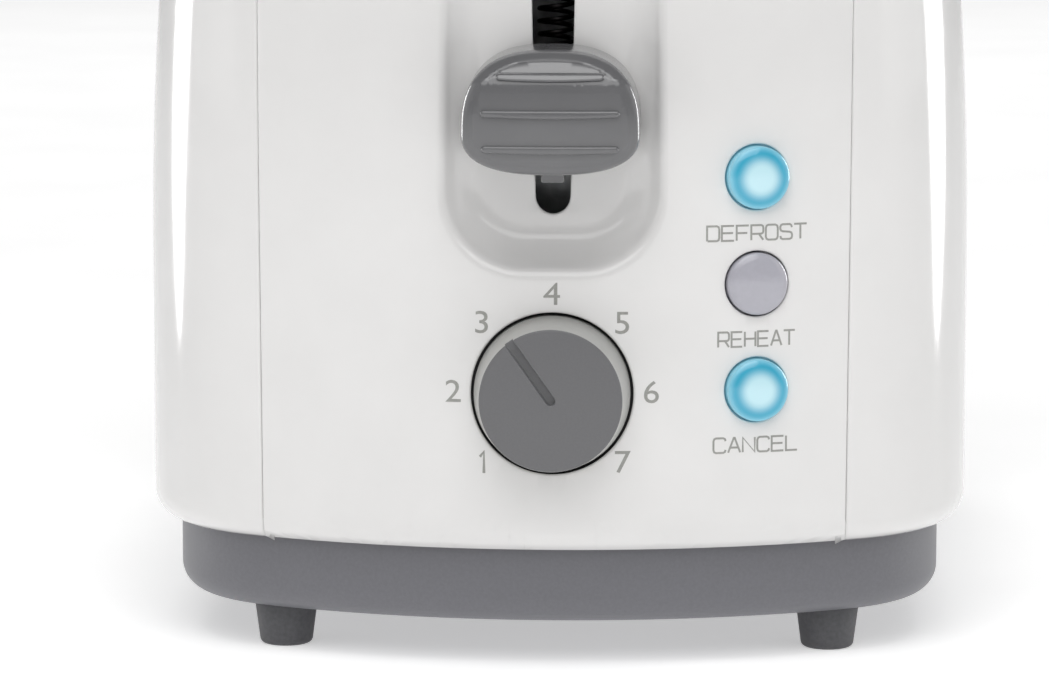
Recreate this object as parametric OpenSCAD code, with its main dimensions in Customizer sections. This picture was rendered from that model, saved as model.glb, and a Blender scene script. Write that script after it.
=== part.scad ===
// Two-slice pop-up toaster standing on its feet, lever end towards -Y.
// The origin is on the counter under the middle of the whole object, +Z up, millimetres.

/* [Housing] */
// Width across the two long sides
body_w = 176; // [160:1:212]
// Length of the housing without the lever and the tray grip
body_l = 280; // [262:1:336]
// Height of the top of the housing shells above the counter
top_z = 190; // [180:1:228]
// Height of the lower edge of the housing above the counter
skirt_z = 25.2; // [24:0.1:27]
// Wall of the moulded housing shells
wall = 2.4; // [2:0.1:3]
// Radius of the bowed ends in plan
bow_r = 148; // [140:1:190]
// Radius of the four upright corners in plan
corner_r = 38.5; // [34:0.5:42]
// Radius of the rounded lower edge
edge_r = 6.5; // [5:0.5:7.5]
// Height where the walls start to lean in
belly_z = 85; // [70:1:100]
// Radius of the gentle lean of the walls
lean_r = 760; // [700:10:3000]
// Radius of the top shoulder
shoulder_r = 24; // [18:1:28]
// Width of each side shell seen from the end
wing_w = 26.6; // [25:0.1:32]
// How much wider the end panel is at the top than at the bottom, each side
panel_flare = 1.2; // [0:0.1:1.5]
// Open gap along the seams
seam_gap = 0.3; // [0.2:0.05:0.6]

/* [Lever] */
// Width of the scoop behind the lever
scoop_w = 46; // [42:0.5:52]
// Depth of the scoop
scoop_d = 7; // [5:0.5:9]
// Height of the bottom of the scoop
scoop_z = 85; // [82:0.5:90]
// Radius of the lower corners of the scoop
scoop_r = 17; // [10:0.5:20]
// Width of the lever slot at its lower end
slot_w = 7.6; // [7:0.1:9]
// Width of the lever slot at its upper end
slot_top_w = 10; // [8:0.1:12]
// Height of the bottom of the lever slot
slot_z = 96.3; // [93:0.1:98]
// Travel of the lever and the bread carriage
travel = 46; // [36:1:48]
// Half width of the lever knob
knob_hw = 18.3; // [16:0.1:20]
// Height of the widest line of the lever knob, pressed down
knob_z = 115.2; // [113:0.1:117]
// How far the lever knob stands out in front of the housing
knob_proud = 15; // [12:0.5:20]

/* [Controls] */
// Height of the dial axis
dial_z = 59.4; // [56:0.1:61]
// Radius of the dial opening
dial_hole_r = 17; // [16:0.1:18.5]
// Radial gap between the dial and its opening
dial_gap = 0.75; // [0.6:0.05:2]
// How far the dial stands out in front of the housing
dial_proud = 10; // [7:0.5:12]
// Direction of the pointer, counted from +X towards +Z
pointer_a = 125.2; // [40:0.1:220]
// Distance from the panel's edge to the middle of a button
button_edge = 18.9; // [18:0.1:22]
// Height of the lowest button
cancel_z = 59.6; // [56:0.1:61]
// Distance between the buttons
button_pitch = 22.3; // [20:0.1:24]
// Radius of a button opening
button_hole_r = 6.9; // [6:0.1:7.6]
// Radial gap round a button
button_gap = 0.4; // [0.3:0.05:0.6]

/* [Base] */
// Step from the housing wall in to the base wall
base_in = 5.8; // [5.8:0.1:8]
// Wall and floor thickness of the base
base_t = 2.5; // [2:0.1:3]
// Radius of the rounded edge under the base
base_r = 6; // [4:0.5:7]
// Height of the feet
foot_h = 9.2; // [8:0.1:12]
// Largest radius of a foot
foot_r = 6.7; // [6:0.1:8]
// Distance of the feet from the middle, across
foot_x = 58.2; // [50:0.1:60]
// Distance of the feet from the ends of the housing
foot_in = 32; // [31:1:50]

/* [Toasting well] */
// Distance between the middles of the two bread slots
slot_pitch = 56; // [54:1:58]
// Width of a bread slot
bread_w = 32; // [28:1:34]
// Length of a bread slot
bread_l = 138; // [115:1:142]
// Distance of a bread guide from the middle of its slot
guide_in = 11.5; // [10:0.5:12]
// Distance of a heater board from the middle of its slot
board_in = 24; // [23:0.5:24]

/* [Hidden] */

$fn = 96;
eps = 0.02;
far = 400;

// plan of the housing: bowed ends, upright corners and straight long sides
front_y = -body_l / 2;
half_w = body_w / 2;
bow_cy = front_y + bow_r;
wing_edge_x = half_w - wing_w + panel_flare + 0.8;
bow_inner_r = bow_r - 7.2;
// the corners give way where the seams would run into them
corner_fit = min(corner_r, (bow_inner_r * half_w - wing_edge_x * bow_r) / (bow_inner_r - wing_edge_x));
corner_x = half_w - corner_fit;
corner_y = bow_cy - sqrt(pow(bow_r - corner_fit, 2) - pow(corner_x, 2));
bow_a = asin(corner_x / (bow_r - corner_fit));

// upright line of the walls
edge_a = 70;
edge_steps = 6;
lean_steps = 5;
shoulder_steps = 8;
bow_steps = 6;
corner_steps = 8;
lean_a = asin((top_z - shoulder_r - belly_z) / (lean_r - shoulder_r));
shoulder_in = lean_r - (lean_r - shoulder_r) * cos(lean_a);
shoulder_cz = top_z - shoulder_r;
lid_gap = 0.3;
rim_a = lean_a + asin(lid_gap / shoulder_r);

// the whole object's box is centred on the origin along Y
grip_out = 6;
shift_y = (knob_proud - grip_out) / 2;

// bread slots
liner_t = 0.8;
liner_gap = 0.2;
liner_deep = 18;
liner_flange = 2.2;

// base, tray and screws
base_z = foot_h;
base_top = skirt_z + 6;
floor_z = base_z + base_t;
tray_gap = 0.3;
tray_hw = 54;
tray_h = 8;
tray_t = 0.8;
grip_hw = 18;
grip_r = 60;
grip_t = 3.2;
tray_front = -bread_l / 2 - 19;
vent_rows = 4;
vent_pitch = 10;
vent_w = 3;
vent_l = 90;
lug_y = 60;
lug_w = 12;
lug_in = 14;
lug_z = base_top + 2;
lug_t = 6;
screw_r = 1.5;
screw_gap = 0.08;
screw_in = 11;

// sheet chassis round the toasting well
sheet = 1;
chassis_y = bread_l / 2 + 25;
board_t = 0.8;
shield_gap = 6;
shield_x = slot_pitch / 2 + board_in + shield_gap;
chassis_hw = shield_x + shield_gap;
chassis_top = top_z - 12;
tab_hw = 24;
tab_over = 8;
tab_z = base_top - 3;
board_z0 = 50;
board_z1 = top_z - 22;
well_sides = [-1, 1];

// push buttons
button_x = half_w - wing_w - button_edge;
button_a = asin(button_x / bow_r);
button_zs = [cancel_z + 2 * button_pitch, cancel_z + button_pitch, cancel_z];
button_proud = [1.9, 1.0, 1.9];
cap_r = button_hole_r - button_gap;
dome_h = 1.1;
flange_r = cap_r + 1.1;
flange_in = wall + 0.8;
flange_t = 0.9;
stub_r = 2;
stub_l = 1;
button_press = 1.2;
tube_r = flange_r + 0.3;
tube_wall = 1.2;
tube_l = 4;

// control board, clear of the pressed buttons and of their guide tubes
bow_in = bow_r * (1 - cos(button_a));
stub_in = (flange_in + flange_t + stub_l + button_press) * cos(button_a) + stub_r * sin(button_a);
tube_in = (flange_in + tube_l) * cos(button_a) + (tube_r + tube_wall) * sin(button_a);
switch_y = front_y + bow_in + stub_in + 0.15;
pcb_y = max(switch_y + 3, front_y + bow_in + tube_in + 0.2);
pcb_t = 1.6;
pcb_side = 10;

// carriage on its two posts, at rest in the latched position
post_r = 2;
post_x = 16;
sleeve_r = 4;
post_y = max(-chassis_y - 18, pcb_y + pcb_t + sleeve_r + 0.5);
post_gap = 0.05;
bracket_y = post_y + 3;
bracket_t = 2;
bracket_z0 = 42;
bracket_z1 = 122;
bracket_hw = 34;
lifter_z = 46;
lifter_hw = 7;
lifter_t = 1.5;
lifter_h = 10;
lifter_slot_gap = 1.2;
arm_z0 = 103;
arm_z1 = 111.5;
arm_hw = 1;
stem_hw = 2.4;
stem_deep = 12;
pocket_gap = 0.1;
knob_back_gap = 2;
knob_n = 2.6;
knob_up = 16.8;
knob_down = 8.6;

// electromagnet and main switch
core_x = -49;
core_hw = 13;
core_z0 = 40;
core_z1 = 62;
core_leg = 4;
latch_gap = 0.1;
switch_x = 40;
switch_hw = 6;

// dial
dial_r = dial_hole_r - dial_gap;
dial_front_r = dial_r - 1.3;
dial_back = wall + 1.2;
seat_y = front_y + wall + 1.5;
seat_t = 1.5;
dial_edge = 1;
shaft_r = 3;
shaft_gap = 0.05;
pot_deep = 8;

// bread guides
guide_rod_r = 1;
guide_wire_r = 0.8;
guide_z0 = 50;
guide_z1 = top_z - 22;
guide_wires = 7;

// rear inlet
gland_z = 45;
gland_r = 6;
gland_bore_r = 3.6;
gland_flange_r = 8.5;

function reversed(v) = [for (i = [len(v) - 1:-1:0]) v[i]];

function tail(v) = [for (i = [1:len(v) - 1]) v[i]];

// Points [distance in from the housing's outline, height] on the wall, t below its skin.
function wall_line(t) = concat(
    [for (i = [0:edge_steps]) let (a = edge_a * (i / edge_steps - 1))
        [edge_r - (edge_r - t) * cos(a), skirt_z + edge_r + (edge_r - t) * sin(a)]],
    [for (i = [0:lean_steps]) let (a = lean_a * i / lean_steps)
        [lean_r - (lean_r - t) * cos(a), belly_z + (lean_r - t) * sin(a)]]);

// The same on the shoulder, from its lower rim to the level top.
function shoulder_line(t) = [for (i = [0:shoulder_steps])
    let (a = rim_a + (90 - rim_a) * i / shoulder_steps)
    [shoulder_in - (shoulder_r - t) * cos(a), shoulder_cz + (shoulder_r - t) * sin(a)]];

function base_line(t) = concat(
    [for (a = [-90:15:0])
        [base_in + base_r - (base_r - t) * cos(a), base_z + base_r + (base_r - t) * sin(a)]],
    [[base_in + t, base_top]]);

wall_band = concat(wall_line(0), reversed(wall_line(wall)));
base_band = concat(base_line(0), reversed(base_line(base_t)));
shoulder_skin = concat(reversed(shoulder_line(wall)), shoulder_line(0));

function arc(cx, cy, r, from_a, to_a, n) = [for (i = [0:n])
    let (a = from_a + (to_a - from_a) * i / n) [cx + r * cos(a), cy + r * sin(a)]];

// The housing's outline moved in by a distance, from the front seam x to the rear one.
function half_outline(by, seam_x) = let (seam_a = asin(seam_x / (bow_r - by))) concat(
    arc(0, bow_cy, bow_r - by, 270 + seam_a, 270 + bow_a, bow_steps),
    tail(arc(corner_x, corner_y, corner_fit - by, 270 + bow_a, 360, corner_steps)),
    arc(corner_x, -corner_y, corner_fit - by, 0, 90 - bow_a, corner_steps),
    tail(arc(0, -bow_cy, bow_r - by, 90 - bow_a, 90 - seam_a, bow_steps)));

function outline(by) = let (half = half_outline(by, 0))
    concat(half, [for (i = [len(half) - 2:-1:1]) [-half[i][0], half[i][1]]]);

function seam_x(z, gap) = half_w - wing_w + gap + panel_flare * z / (top_z + 1);

// Side faces between rows of m points, as triangles.
function row_faces(rows, m, wrap, close) = [
    for (k = [0:rows - (close ? 1 : 2)]) for (i = [0:m - (wrap ? 1 : 2)])
        let (a = k * m + i, b = k * m + (i + 1) % m,
             d = (k + 1) % rows * m + i, c = (k + 1) % rows * m + (i + 1) % m)
        each [[a, d, c], [a, c, b]]];

// Outline of the lever knob's face, [x, z] about its widest line.
function knob_outline(grow) = [for (i = [0:47]) let (a = i * 7.5, c = cos(a), s = sin(a))
    [(knob_hw + grow) * sign(c) * pow(abs(c), 2 / knob_n),
     ((s > 0 ? knob_up : knob_down) + grow) * sign(s) * pow(abs(s), 2 / knob_n)]];

module place() {
    translate([0, shift_y, 0]) children();
}

module sector(pts, r, from_a, to_a) {
    rotate_extrude(angle = to_a - from_a, start = from_a, $fn = 180)
        polygon([for (p = pts) [r - p[0], p[1]]]);
}

// Wall section revolved about the middle of the front bow.
module bow_wall(pts) {
    translate([0, bow_cy, 0]) sector(pts, bow_r, 270 - bow_a, 270 + bow_a);
}

// Closed tub or lid: a section carried round the whole outline, with level ends.
module tub(pts) {
    m = len(outline(0));
    points = [for (p = pts) for (q = outline(p[0])) [q[0], q[1], p[1]]];
    last = (len(pts) - 1) * m;
    polyhedron(points, concat([[for (i = [0:m - 1]) i]],
                              row_faces(len(pts), m, true, false),
                              [[for (i = [m - 1:-1:0]) last + i]]));
}

// End faces of a shell n points round, each quad from the outer skin to the inner one.
function band_caps(n, m, at, up) = [for (k = [0:n / 2 - 2])
    let (q = [k, k + 1, n - 2 - k, n - 1 - k])
    [for (i = up ? [0:3] : [3:-1:0]) q[i] * m + at]];

// Wall section carried from the front seam round one long side to the rear seam.
module half_shell(pts) {
    n = len(pts);
    m = len(half_outline(0, seam_x(0, 0)));
    points = [for (p = pts)
        for (q = half_outline(p[0], seam_x(p[1], seam_gap / 2))) [q[0], q[1], p[1]]];
    polyhedron(points, concat(band_caps(n, m, 0, false),
                              row_faces(n, m, false, true),
                              band_caps(n, m, m - 1, true)));
}

// The housing's outline moved in by a distance, as a flat shape.
module plan(by) {
    for (s = [-1, 1]) for (e = [-1, 1])
        translate([s * corner_x, e * corner_y]) circle(r = corner_fit - by);
    square([2 * (half_w - by), -2 * corner_y], center = true);
    for (e = [0, 1]) mirror([0, e]) intersection() {
        translate([0, bow_cy]) circle(r = bow_r - by, $fn = 180);
        polygon([[0, bow_cy],
                 [-far * sin(bow_a), bow_cy - far * cos(bow_a)],
                 [far * sin(bow_a), bow_cy - far * cos(bow_a)]]);
    }
    square([2 * corner_x, body_l - 2 * by - 2 * (bow_r - bow_r * cos(bow_a))], center = true);
}

// Wedge between the two seams, from the end of the housing to its middle.
module panel_zone(gap) {
    hw = half_w - wing_w - gap;
    rotate([90, 0, 0]) linear_extrude(height = far)
        polygon([[-hw, 0], [hw, 0], [hw + panel_flare, top_z + 1], [-hw - panel_flare, top_z + 1]]);
}

module along_y(y0, y1) {
    translate([0, y1, 0]) rotate([90, 0, 0]) linear_extrude(height = y1 - y0) children();
}

module rod_y(r, y0, y1) {
    translate([0, y1, 0]) rotate([90, 0, 0]) cylinder(r = r, h = y1 - y0);
}

// Local frame on the bowed front: -Y is the outward normal, y = 0 is the skin.
module on_bow(a, z) {
    translate([0, bow_cy, z]) rotate([0, 0, a]) translate([0, -bow_r, 0]) children();
}

module scoop_shape(grow) {
    w = scoop_w / 2 + grow;
    r = scoop_r + grow;
    for (s = [-1, 1]) translate([s * (w - r), scoop_z + scoop_r]) circle(r = r);
    translate([-(w - r), scoop_z - grow]) square([2 * (w - r), r]);
    translate([-w, scoop_z + scoop_r]) square([2 * w, top_z]);
}

module lever_slot_shape() {
    low = slot_w / 2;
    high = slot_top_w / 2;
    z1 = arm_z1 + travel + 2;
    translate([0, slot_z + low]) circle(r = low);
    translate([0, z1]) circle(r = high);
    polygon([[-low, slot_z + low], [low, slot_z + low], [high, z1], [-high, z1]]);
}

module front_panel() {
    color("white") place() difference() {
        union() {
            intersection() {
                bow_wall(wall_band);
                panel_zone(seam_gap / 2);
            }
            scoop_pan();
        }
        scoop_cut();
        along_y(front_y - 5, front_y + 30) lever_slot_shape();
        translate([0, 0, dial_z]) rod_y(dial_hole_r, front_y - 5, front_y + 20);
        for (z = button_zs)
            on_bow(button_a, z) rod_y(button_hole_r, -5, 8);
    }
}

// Walls and back of the scoop before it is hollowed; they reach up into the top cover.
module scoop_pan() {
    back = scoop_d + wall;
    skin = concat(wall_line(0), shoulder_line(0), [[back + 30, top_z], [back + 30, skirt_z]]);
    difference() {
        intersection() {
            bow_wall(skin);
            along_y(front_y - 5, front_y + 40) scoop_shape(wall);
        }
        translate([0, bow_cy, 0]) cylinder(r = bow_r - back, h = far, $fn = 180);
    }
}

module scoop_cut() {
    difference() {
        along_y(front_y - 5, front_y + 40) scoop_shape(0);
        translate([0, bow_cy, 0]) cylinder(r = bow_r - scoop_d, h = far, $fn = 180);
    }
}

module rear_panel() {
    color("white") place() difference() {
        mirror([0, 1, 0]) intersection() {
            bow_wall(wall_band);
            panel_zone(seam_gap / 2);
        }
        translate([0, 0, gland_z]) rod_y(gland_r + 0.05, 0, far / 2);
    }
}

// One long side with its two corners and a lug at each end for a screw.
module side_shell() {
    difference() {
        union() {
            half_shell(wall_band);
            for (e = [-1, 1])
                translate([half_w - lug_in, e * lug_y - lug_w / 2, lug_z])
                    cube([lug_in - wall / 2, lug_w, lug_t]);
        }
        for (e = [-1, 1])
            translate([half_w - screw_in, e * lug_y, 0])
                cylinder(r = screw_r + screw_gap, h = lug_z + 2 * lug_t);
    }
}

module side_shell_left() {
    color("whitesmoke") place() mirror([1, 0, 0]) side_shell();
}

module side_shell_right() {
    color("whitesmoke") place() side_shell();
}

// Lid that holds the whole shoulder, with the bread slots and a notch for the scoop.
module top_cover() {
    hole_w = bread_w + 2 * (liner_t + liner_gap);
    hole_l = bread_l + 2 * (liner_t + liner_gap);
    notch = scoop_w / 2 + wall + lid_gap;
    color("white") place() difference() {
        tub(shoulder_skin);
        for (s = well_sides)
            translate([s * slot_pitch / 2, 0, top_z]) cube([hole_w, hole_l, 20], center = true);
        difference() {
            translate([-notch, front_y - 5, 0])
                cube([2 * notch, scoop_d + wall + lid_gap + 15, far]);
            translate([0, bow_cy, 0])
                cylinder(r = bow_r - scoop_d - wall - lid_gap, h = far, $fn = 180);
        }
    }
}

module slot_liner(s) {
    w = bread_w + 2 * liner_t;
    l = bread_l + 2 * liner_t;
    z1 = top_z;
    color("silver") place() translate([s * slot_pitch / 2, 0, 0]) difference() {
        union() {
            translate([0, 0, z1 - liner_deep / 2]) cube([w, l, liner_deep], center = true);
            translate([0, 0, z1 + liner_t / 2])
                cube([w + 2 * liner_flange, l + 2 * liner_flange, liner_t], center = true);
        }
        translate([0, 0, z1]) cube([bread_w, bread_l, 3 * liner_deep], center = true);
    }
}

module slot_liner_left() {
    slot_liner(-1);
}

module slot_liner_right() {
    slot_liner(1);
}

module base_tray() {
    color("dimgray") place() difference() {
        union() {
            tub(base_band);
            for (s = [-1, 1]) for (e = [-1, 1])
                translate([s * (half_w - (lug_in + base_in + base_t / 2) / 2), e * lug_y,
                           (base_z + 1 + lug_z) / 2])
                    cube([lug_in - base_in - base_t / 2, lug_w, lug_z - base_z - 1], center = true);
        }
        translate([-tray_hw - 2 * tray_gap, 0, floor_z])
            cube([2 * tray_hw + 4 * tray_gap, body_l, tray_h + 2 * tray_gap]);
        for (s = [-1, 1]) for (e = [-1, 1]) {
            translate([s * (half_w - screw_in), e * lug_y, floor_z + 4])
                cylinder(r = screw_r + screw_gap, h = lug_z);
            translate([s * foot_x, e * (body_l / 2 - foot_in), 0])
                cylinder(r = screw_r + screw_gap, h = 2 * floor_z);
        }
        for (i = [-vent_rows:vent_rows])
            translate([i * vent_pitch, 0, base_z]) cube([vent_w, vent_l, 4 * base_t], center = true);
    }
}

module feet() {
    edge = 1.2;
    bottom = foot_r - 1;
    color("gray") place() for (s = [-1, 1]) for (e = [-1, 1])
        translate([s * foot_x, e * (body_l / 2 - foot_in), 0]) difference() {
            rotate_extrude() polygon(concat(
                [[0, 0]],
                [for (a = [-90:15:0]) [bottom - edge + edge * cos(a), edge + edge * sin(a)]],
                [[foot_r, foot_h], [0, foot_h]]));
            cylinder(r = screw_r + screw_gap, h = foot_h + 1);
            translate([0, 0, -1]) cylinder(r = 2 * screw_r + 0.4, h = foot_h / 2 + 1);
        }
}

module foot_screws() {
    color("silver") place() for (s = [-1, 1]) for (e = [-1, 1])
        translate([s * foot_x, e * (body_l / 2 - foot_in), foot_h / 2 - 1.8]) {
            cylinder(r = 2 * screw_r, h = 1.8);
            cylinder(r = screw_r, h = 1.8 + foot_h / 2 + base_t + 2);
        }
}

module shell_screws() {
    color("silver") place() for (s = [-1, 1]) for (e = [-1, 1])
        translate([s * (half_w - screw_in), e * lug_y, 0]) {
            translate([0, 0, lug_z + lug_t]) cylinder(r = 2 * screw_r, h = 1.8);
            translate([0, 0, floor_z + 6]) cylinder(r = screw_r, h = lug_z + lug_t - floor_z - 6 + 1);
        }
}

// Crumb tray that leaves under the rear of the housing.
module crumb_tray() {
    z0 = floor_z + tray_gap;
    facia_z = z0 + tray_h - tray_gap;
    color("silver") place() {
        intersection() {
            translate([0, 0, z0]) linear_extrude(height = tray_t) plan(base_in + base_t / 2);
            translate([-tray_hw, tray_front, 0]) cube([2 * tray_hw, body_l, far]);
        }
        for (s = [0, 1]) mirror([s, 0, 0])
            translate([tray_hw - tray_t, tray_front, z0])
                cube([tray_t, -2 * tray_front, tray_h / 2]);
        translate([-tray_hw, tray_front, z0]) cube([2 * tray_hw, tray_t, tray_h / 2]);
        intersection() {
            mirror([0, 1, 0]) bow_wall(base_band);
            translate([-tray_hw, 0, z0]) cube([2 * tray_hw, body_l, facia_z - z0]);
        }
        intersection() {
            translate([-grip_hw, body_l / 2 - base_in - base_t, z0 + 2])
                cube([2 * grip_hw, base_in + base_t + grip_out, grip_t]);
            translate([0, body_l / 2 + grip_out - grip_r, 0]) cylinder(r = grip_r, h = far);
        }
    }
}

// Sheet end wall of the well: slots for the lifters and bearings for the bread guides.
module chassis_wall() {
    slot_z0 = lifter_z - lifter_h - lifter_slot_gap;
    difference() {
        translate([-chassis_hw, -sheet, floor_z]) cube([2 * chassis_hw, sheet, chassis_top - floor_z]);
        for (s = well_sides) {
            translate([s * slot_pitch / 2 - lifter_t / 2 - lifter_slot_gap, -2 * sheet, slot_z0])
                cube([lifter_t + 2 * lifter_slot_gap, 4 * sheet,
                      lifter_h + travel + 2 * lifter_slot_gap]);
            for (g = [-1, 1])
                translate([s * slot_pitch / 2 + g * guide_in, 0, guide_z0])
                    rod_y(guide_rod_r + 0.05, -3 * sheet, 3 * sheet);
        }
    }
}

module chassis_front() {
    color("lightgray") place() {
        translate([0, -chassis_y, 0]) chassis_wall();
        for (z = [tab_z, chassis_top - sheet])
            translate([-tab_hw, post_y - tab_over, z])
                cube([2 * tab_hw, tab_over - chassis_y - post_y - sheet / 2, sheet]);
    }
}

module chassis_rear() {
    color("lightgray") place() difference() {
        translate([0, chassis_y + sheet, 0]) chassis_wall();
        translate([-tray_hw - 1, 0, 0]) cube([2 * tray_hw + 2, body_l, floor_z + tray_h + 1]);
    }
}

module well_sheet(x, t, z0, z1) {
    translate([x - t / 2, -chassis_y, z0]) cube([t, 2 * chassis_y, z1 - z0]);
}

module reflector_left() {
    color("gainsboro") place() well_sheet(-shield_x, board_t, tab_z, chassis_top - 4);
}

module reflector_right() {
    color("gainsboro") place() well_sheet(shield_x, board_t, tab_z, chassis_top - 4);
}

module centre_divider() {
    color("gainsboro") place() well_sheet(0, board_t, tab_z, chassis_top - 4);
}

module board_left_outer() {
    color("wheat") place() well_sheet(-slot_pitch / 2 - board_in, board_t, board_z0, board_z1);
}

module board_left_inner() {
    color("wheat") place() well_sheet(-slot_pitch / 2 + board_in, board_t, board_z0, board_z1);
}

module board_right_inner() {
    color("wheat") place() well_sheet(slot_pitch / 2 - board_in, board_t, board_z0, board_z1);
}

module board_right_outer() {
    color("wheat") place() well_sheet(slot_pitch / 2 + board_in, board_t, board_z0, board_z1);
}

// Resistance ribbon on the bread side of one board: level runs joined at both ends.
module winding(s, g) {
    run = 2 * chassis_y - 20;
    ribbon = 0.5;
    pitch = 9;
    x = s * slot_pitch / 2 + g * (board_in - board_t / 2 - ribbon / 2);
    runs = floor((board_z1 - board_z0 - 12) / pitch);
    color("saddlebrown") place() translate([x, 0, board_z0 + 6]) {
        for (i = [0:runs])
            translate([0, 0, i * pitch]) cube([ribbon, run, 1.6], center = true);
        for (e = [-1, 1])
            translate([0, e * run / 2, runs * pitch / 2])
                cube([ribbon, 2, runs * pitch + 1.6], center = true);
    }
}

module winding_left_outer() {
    winding(-1, -1);
}

module winding_left_inner() {
    winding(-1, 1);
}

module winding_right_inner() {
    winding(1, -1);
}

module winding_right_outer() {
    winding(1, 1);
}

// Wire bread guide that swings on its lower rod.
module bread_guide(s, g) {
    span = bread_l - 12;
    color("silver") place() translate([s * slot_pitch / 2 + g * guide_in, 0, 0]) {
        translate([0, 0, guide_z0]) rod_y(guide_rod_r, -chassis_y - 0.8, chassis_y + 0.8);
        translate([0, 0, guide_z1]) rod_y(guide_rod_r, -span / 2 - 3, span / 2 + 3);
        for (i = [0:guide_wires - 1])
            translate([0, span * (i / (guide_wires - 1) - 0.5), guide_z0])
                cylinder(r = guide_wire_r, h = guide_z1 - guide_z0, $fn = 24);
    }
}

module guide_left_outer() {
    bread_guide(-1, -1);
}

module guide_left_inner() {
    bread_guide(-1, 1);
}

module guide_right_inner() {
    bread_guide(1, -1);
}

module guide_right_outer() {
    bread_guide(1, 1);
}

module guide_posts() {
    color("silver") place() for (s = [-1, 1])
        translate([s * post_x, post_y, tab_z + sheet])
            cylinder(r = post_r, h = chassis_top - tab_z - 2 * sheet);
}

// Pressed bracket that runs on the posts and carries the arm, the armature and the lifters.
module carriage_bracket() {
    arm_y0 = front_y + scoop_d + wall + stem_deep - 6;
    color("silver") place() difference() {
        union() {
            translate([-bracket_hw, bracket_y, bracket_z0])
                cube([2 * bracket_hw, bracket_t, bracket_z1 - bracket_z0]);
            translate([core_x - core_hw, bracket_y, core_z1])
                cube([1 - bracket_hw - core_x + core_hw, bracket_t, 10]);
            translate([bracket_hw - 1, bracket_y, bracket_z0 + 1])
                cube([switch_x + switch_hw - bracket_hw + 1, bracket_t, 10]);
            for (s = [-1, 1])
                translate([s * post_x, post_y, bracket_z0])
                    cylinder(r = sleeve_r, h = bracket_z1 - bracket_z0);
            translate([-arm_hw, arm_y0, arm_z0 + 1])
                cube([2 * arm_hw, bracket_y - arm_y0 + 1, arm_z1 - arm_z0 - 2]);
        }
        for (s = [-1, 1])
            translate([s * post_x, post_y, 0]) cylinder(r = post_r + post_gap, h = far);
        for (s = [-1, 1])
            translate([s * 8, bracket_y + 1, bracket_z0 + 22]) along_y(-4, 4) circle(r = 5);
    }
}

module armature() {
    color("dimgray") place()
        translate([core_x - core_hw, bracket_y + bracket_t, core_z1 + latch_gap])
            cube([2 * core_hw, -chassis_y - bracket_y - bracket_t - sheet - 1, 3]);
}

// Bread lifter: an upright strip through both chassis walls with a flat shelf on it.
module lifter(s) {
    color("silver") place() translate([s * slot_pitch / 2, 0, 0]) {
        translate([-lifter_t / 2, bracket_y + bracket_t, lifter_z - lifter_h])
            cube([lifter_t, chassis_y + 6 - bracket_y - bracket_t, lifter_h + eps]);
        translate([-lifter_hw, -bread_l / 2 + 4, lifter_z]) cube([2 * lifter_hw, bread_l - 8, 1]);
    }
}

module lifter_left() {
    lifter(-1);
}

module lifter_right() {
    lifter(1);
}

// Close-wound return spring, drawn as a ribbed sleeve of its outer shape.
module return_spring() {
    coil_r = 3.6;
    wire = 1.2;
    z1 = chassis_top - sheet;
    turns = floor((z1 - bracket_z1) / (2 * wire));
    pitch = (z1 - bracket_z1) / turns;
    color("silver") place() translate([0, post_y, bracket_z1]) rotate_extrude($fn = 48)
        polygon(concat(
            [[coil_r - wire, 0]],
            [for (i = [0:turns - 1]) each [[coil_r, i * pitch],
                                          [coil_r + wire / 2, (i + 0.5) * pitch]]],
            [[coil_r, turns * pitch], [coil_r - wire, turns * pitch]]));
}

module lever_knob() {
    y0 = front_y - knob_proud;
    y1 = front_y + scoop_d - knob_back_gap;
    ribs = [[-3.2, 14.1], [4.1, 14.3], [11.7, 11.1]];
    color("gray") place() difference() {
        union() {
            along_y(y0 + 1.2, y1) translate([0, knob_z]) polygon(knob_outline(0));
            along_y(y0 + 0.6, y1 - 1) translate([0, knob_z]) polygon(knob_outline(-1.6));
            for (b = ribs)
                translate([-b[1], y0, knob_z + b[0] - 0.8]) cube([2 * b[1], 2, 1.6]);
            translate([-stem_hw, y1 - 1, arm_z0]) cube([2 * stem_hw, stem_deep, arm_z1 - arm_z0]);
        }
        translate([-arm_hw - pocket_gap, y1 - 3, arm_z0 + 1 - pocket_gap])
            cube([2 * (arm_hw + pocket_gap), stem_deep + 3, arm_z1 - arm_z0 - 2 + 2 * pocket_gap]);
    }
}

module magnet_core() {
    y1 = -chassis_y - sheet;
    color("dimgray") place() {
        translate([core_x - core_hw, y1 - 11, core_z0]) cube([2 * core_hw, 11, core_leg]);
        for (x = [-core_hw, -core_leg / 2, core_hw - core_leg])
            translate([core_x + x, y1 - 11, core_z0 + core_leg - eps])
                cube([core_leg, 7, core_z1 - core_z0 - core_leg + eps]);
    }
}

module magnet_coil() {
    y1 = -chassis_y - sheet;
    hw = core_hw - core_leg - 1;
    color("peru") place() difference() {
        translate([core_x - hw, y1 - 15, core_z0 + core_leg + 1])
            cube([2 * hw, 14.6, core_z1 - core_z0 - core_leg - 4]);
        translate([core_x - core_leg / 2 - 0.3, y1 - 11.3, core_z0])
            cube([core_leg + 0.6, 7.6, core_z1]);
    }
}

module switch_block() {
    color("ivory") place() translate([switch_x - switch_hw, -chassis_y - sheet - 16, tab_z])
        cube([2 * switch_hw, 16, bracket_z0 - tab_z - 1]);
}

module switch_blades() {
    color("goldenrod") place() for (s = [-1, 1])
        translate([switch_x + s * 3 - 1, -chassis_y - sheet - 15, bracket_z0 - 1])
            cube([2, 13, 0.6]);
}

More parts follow.
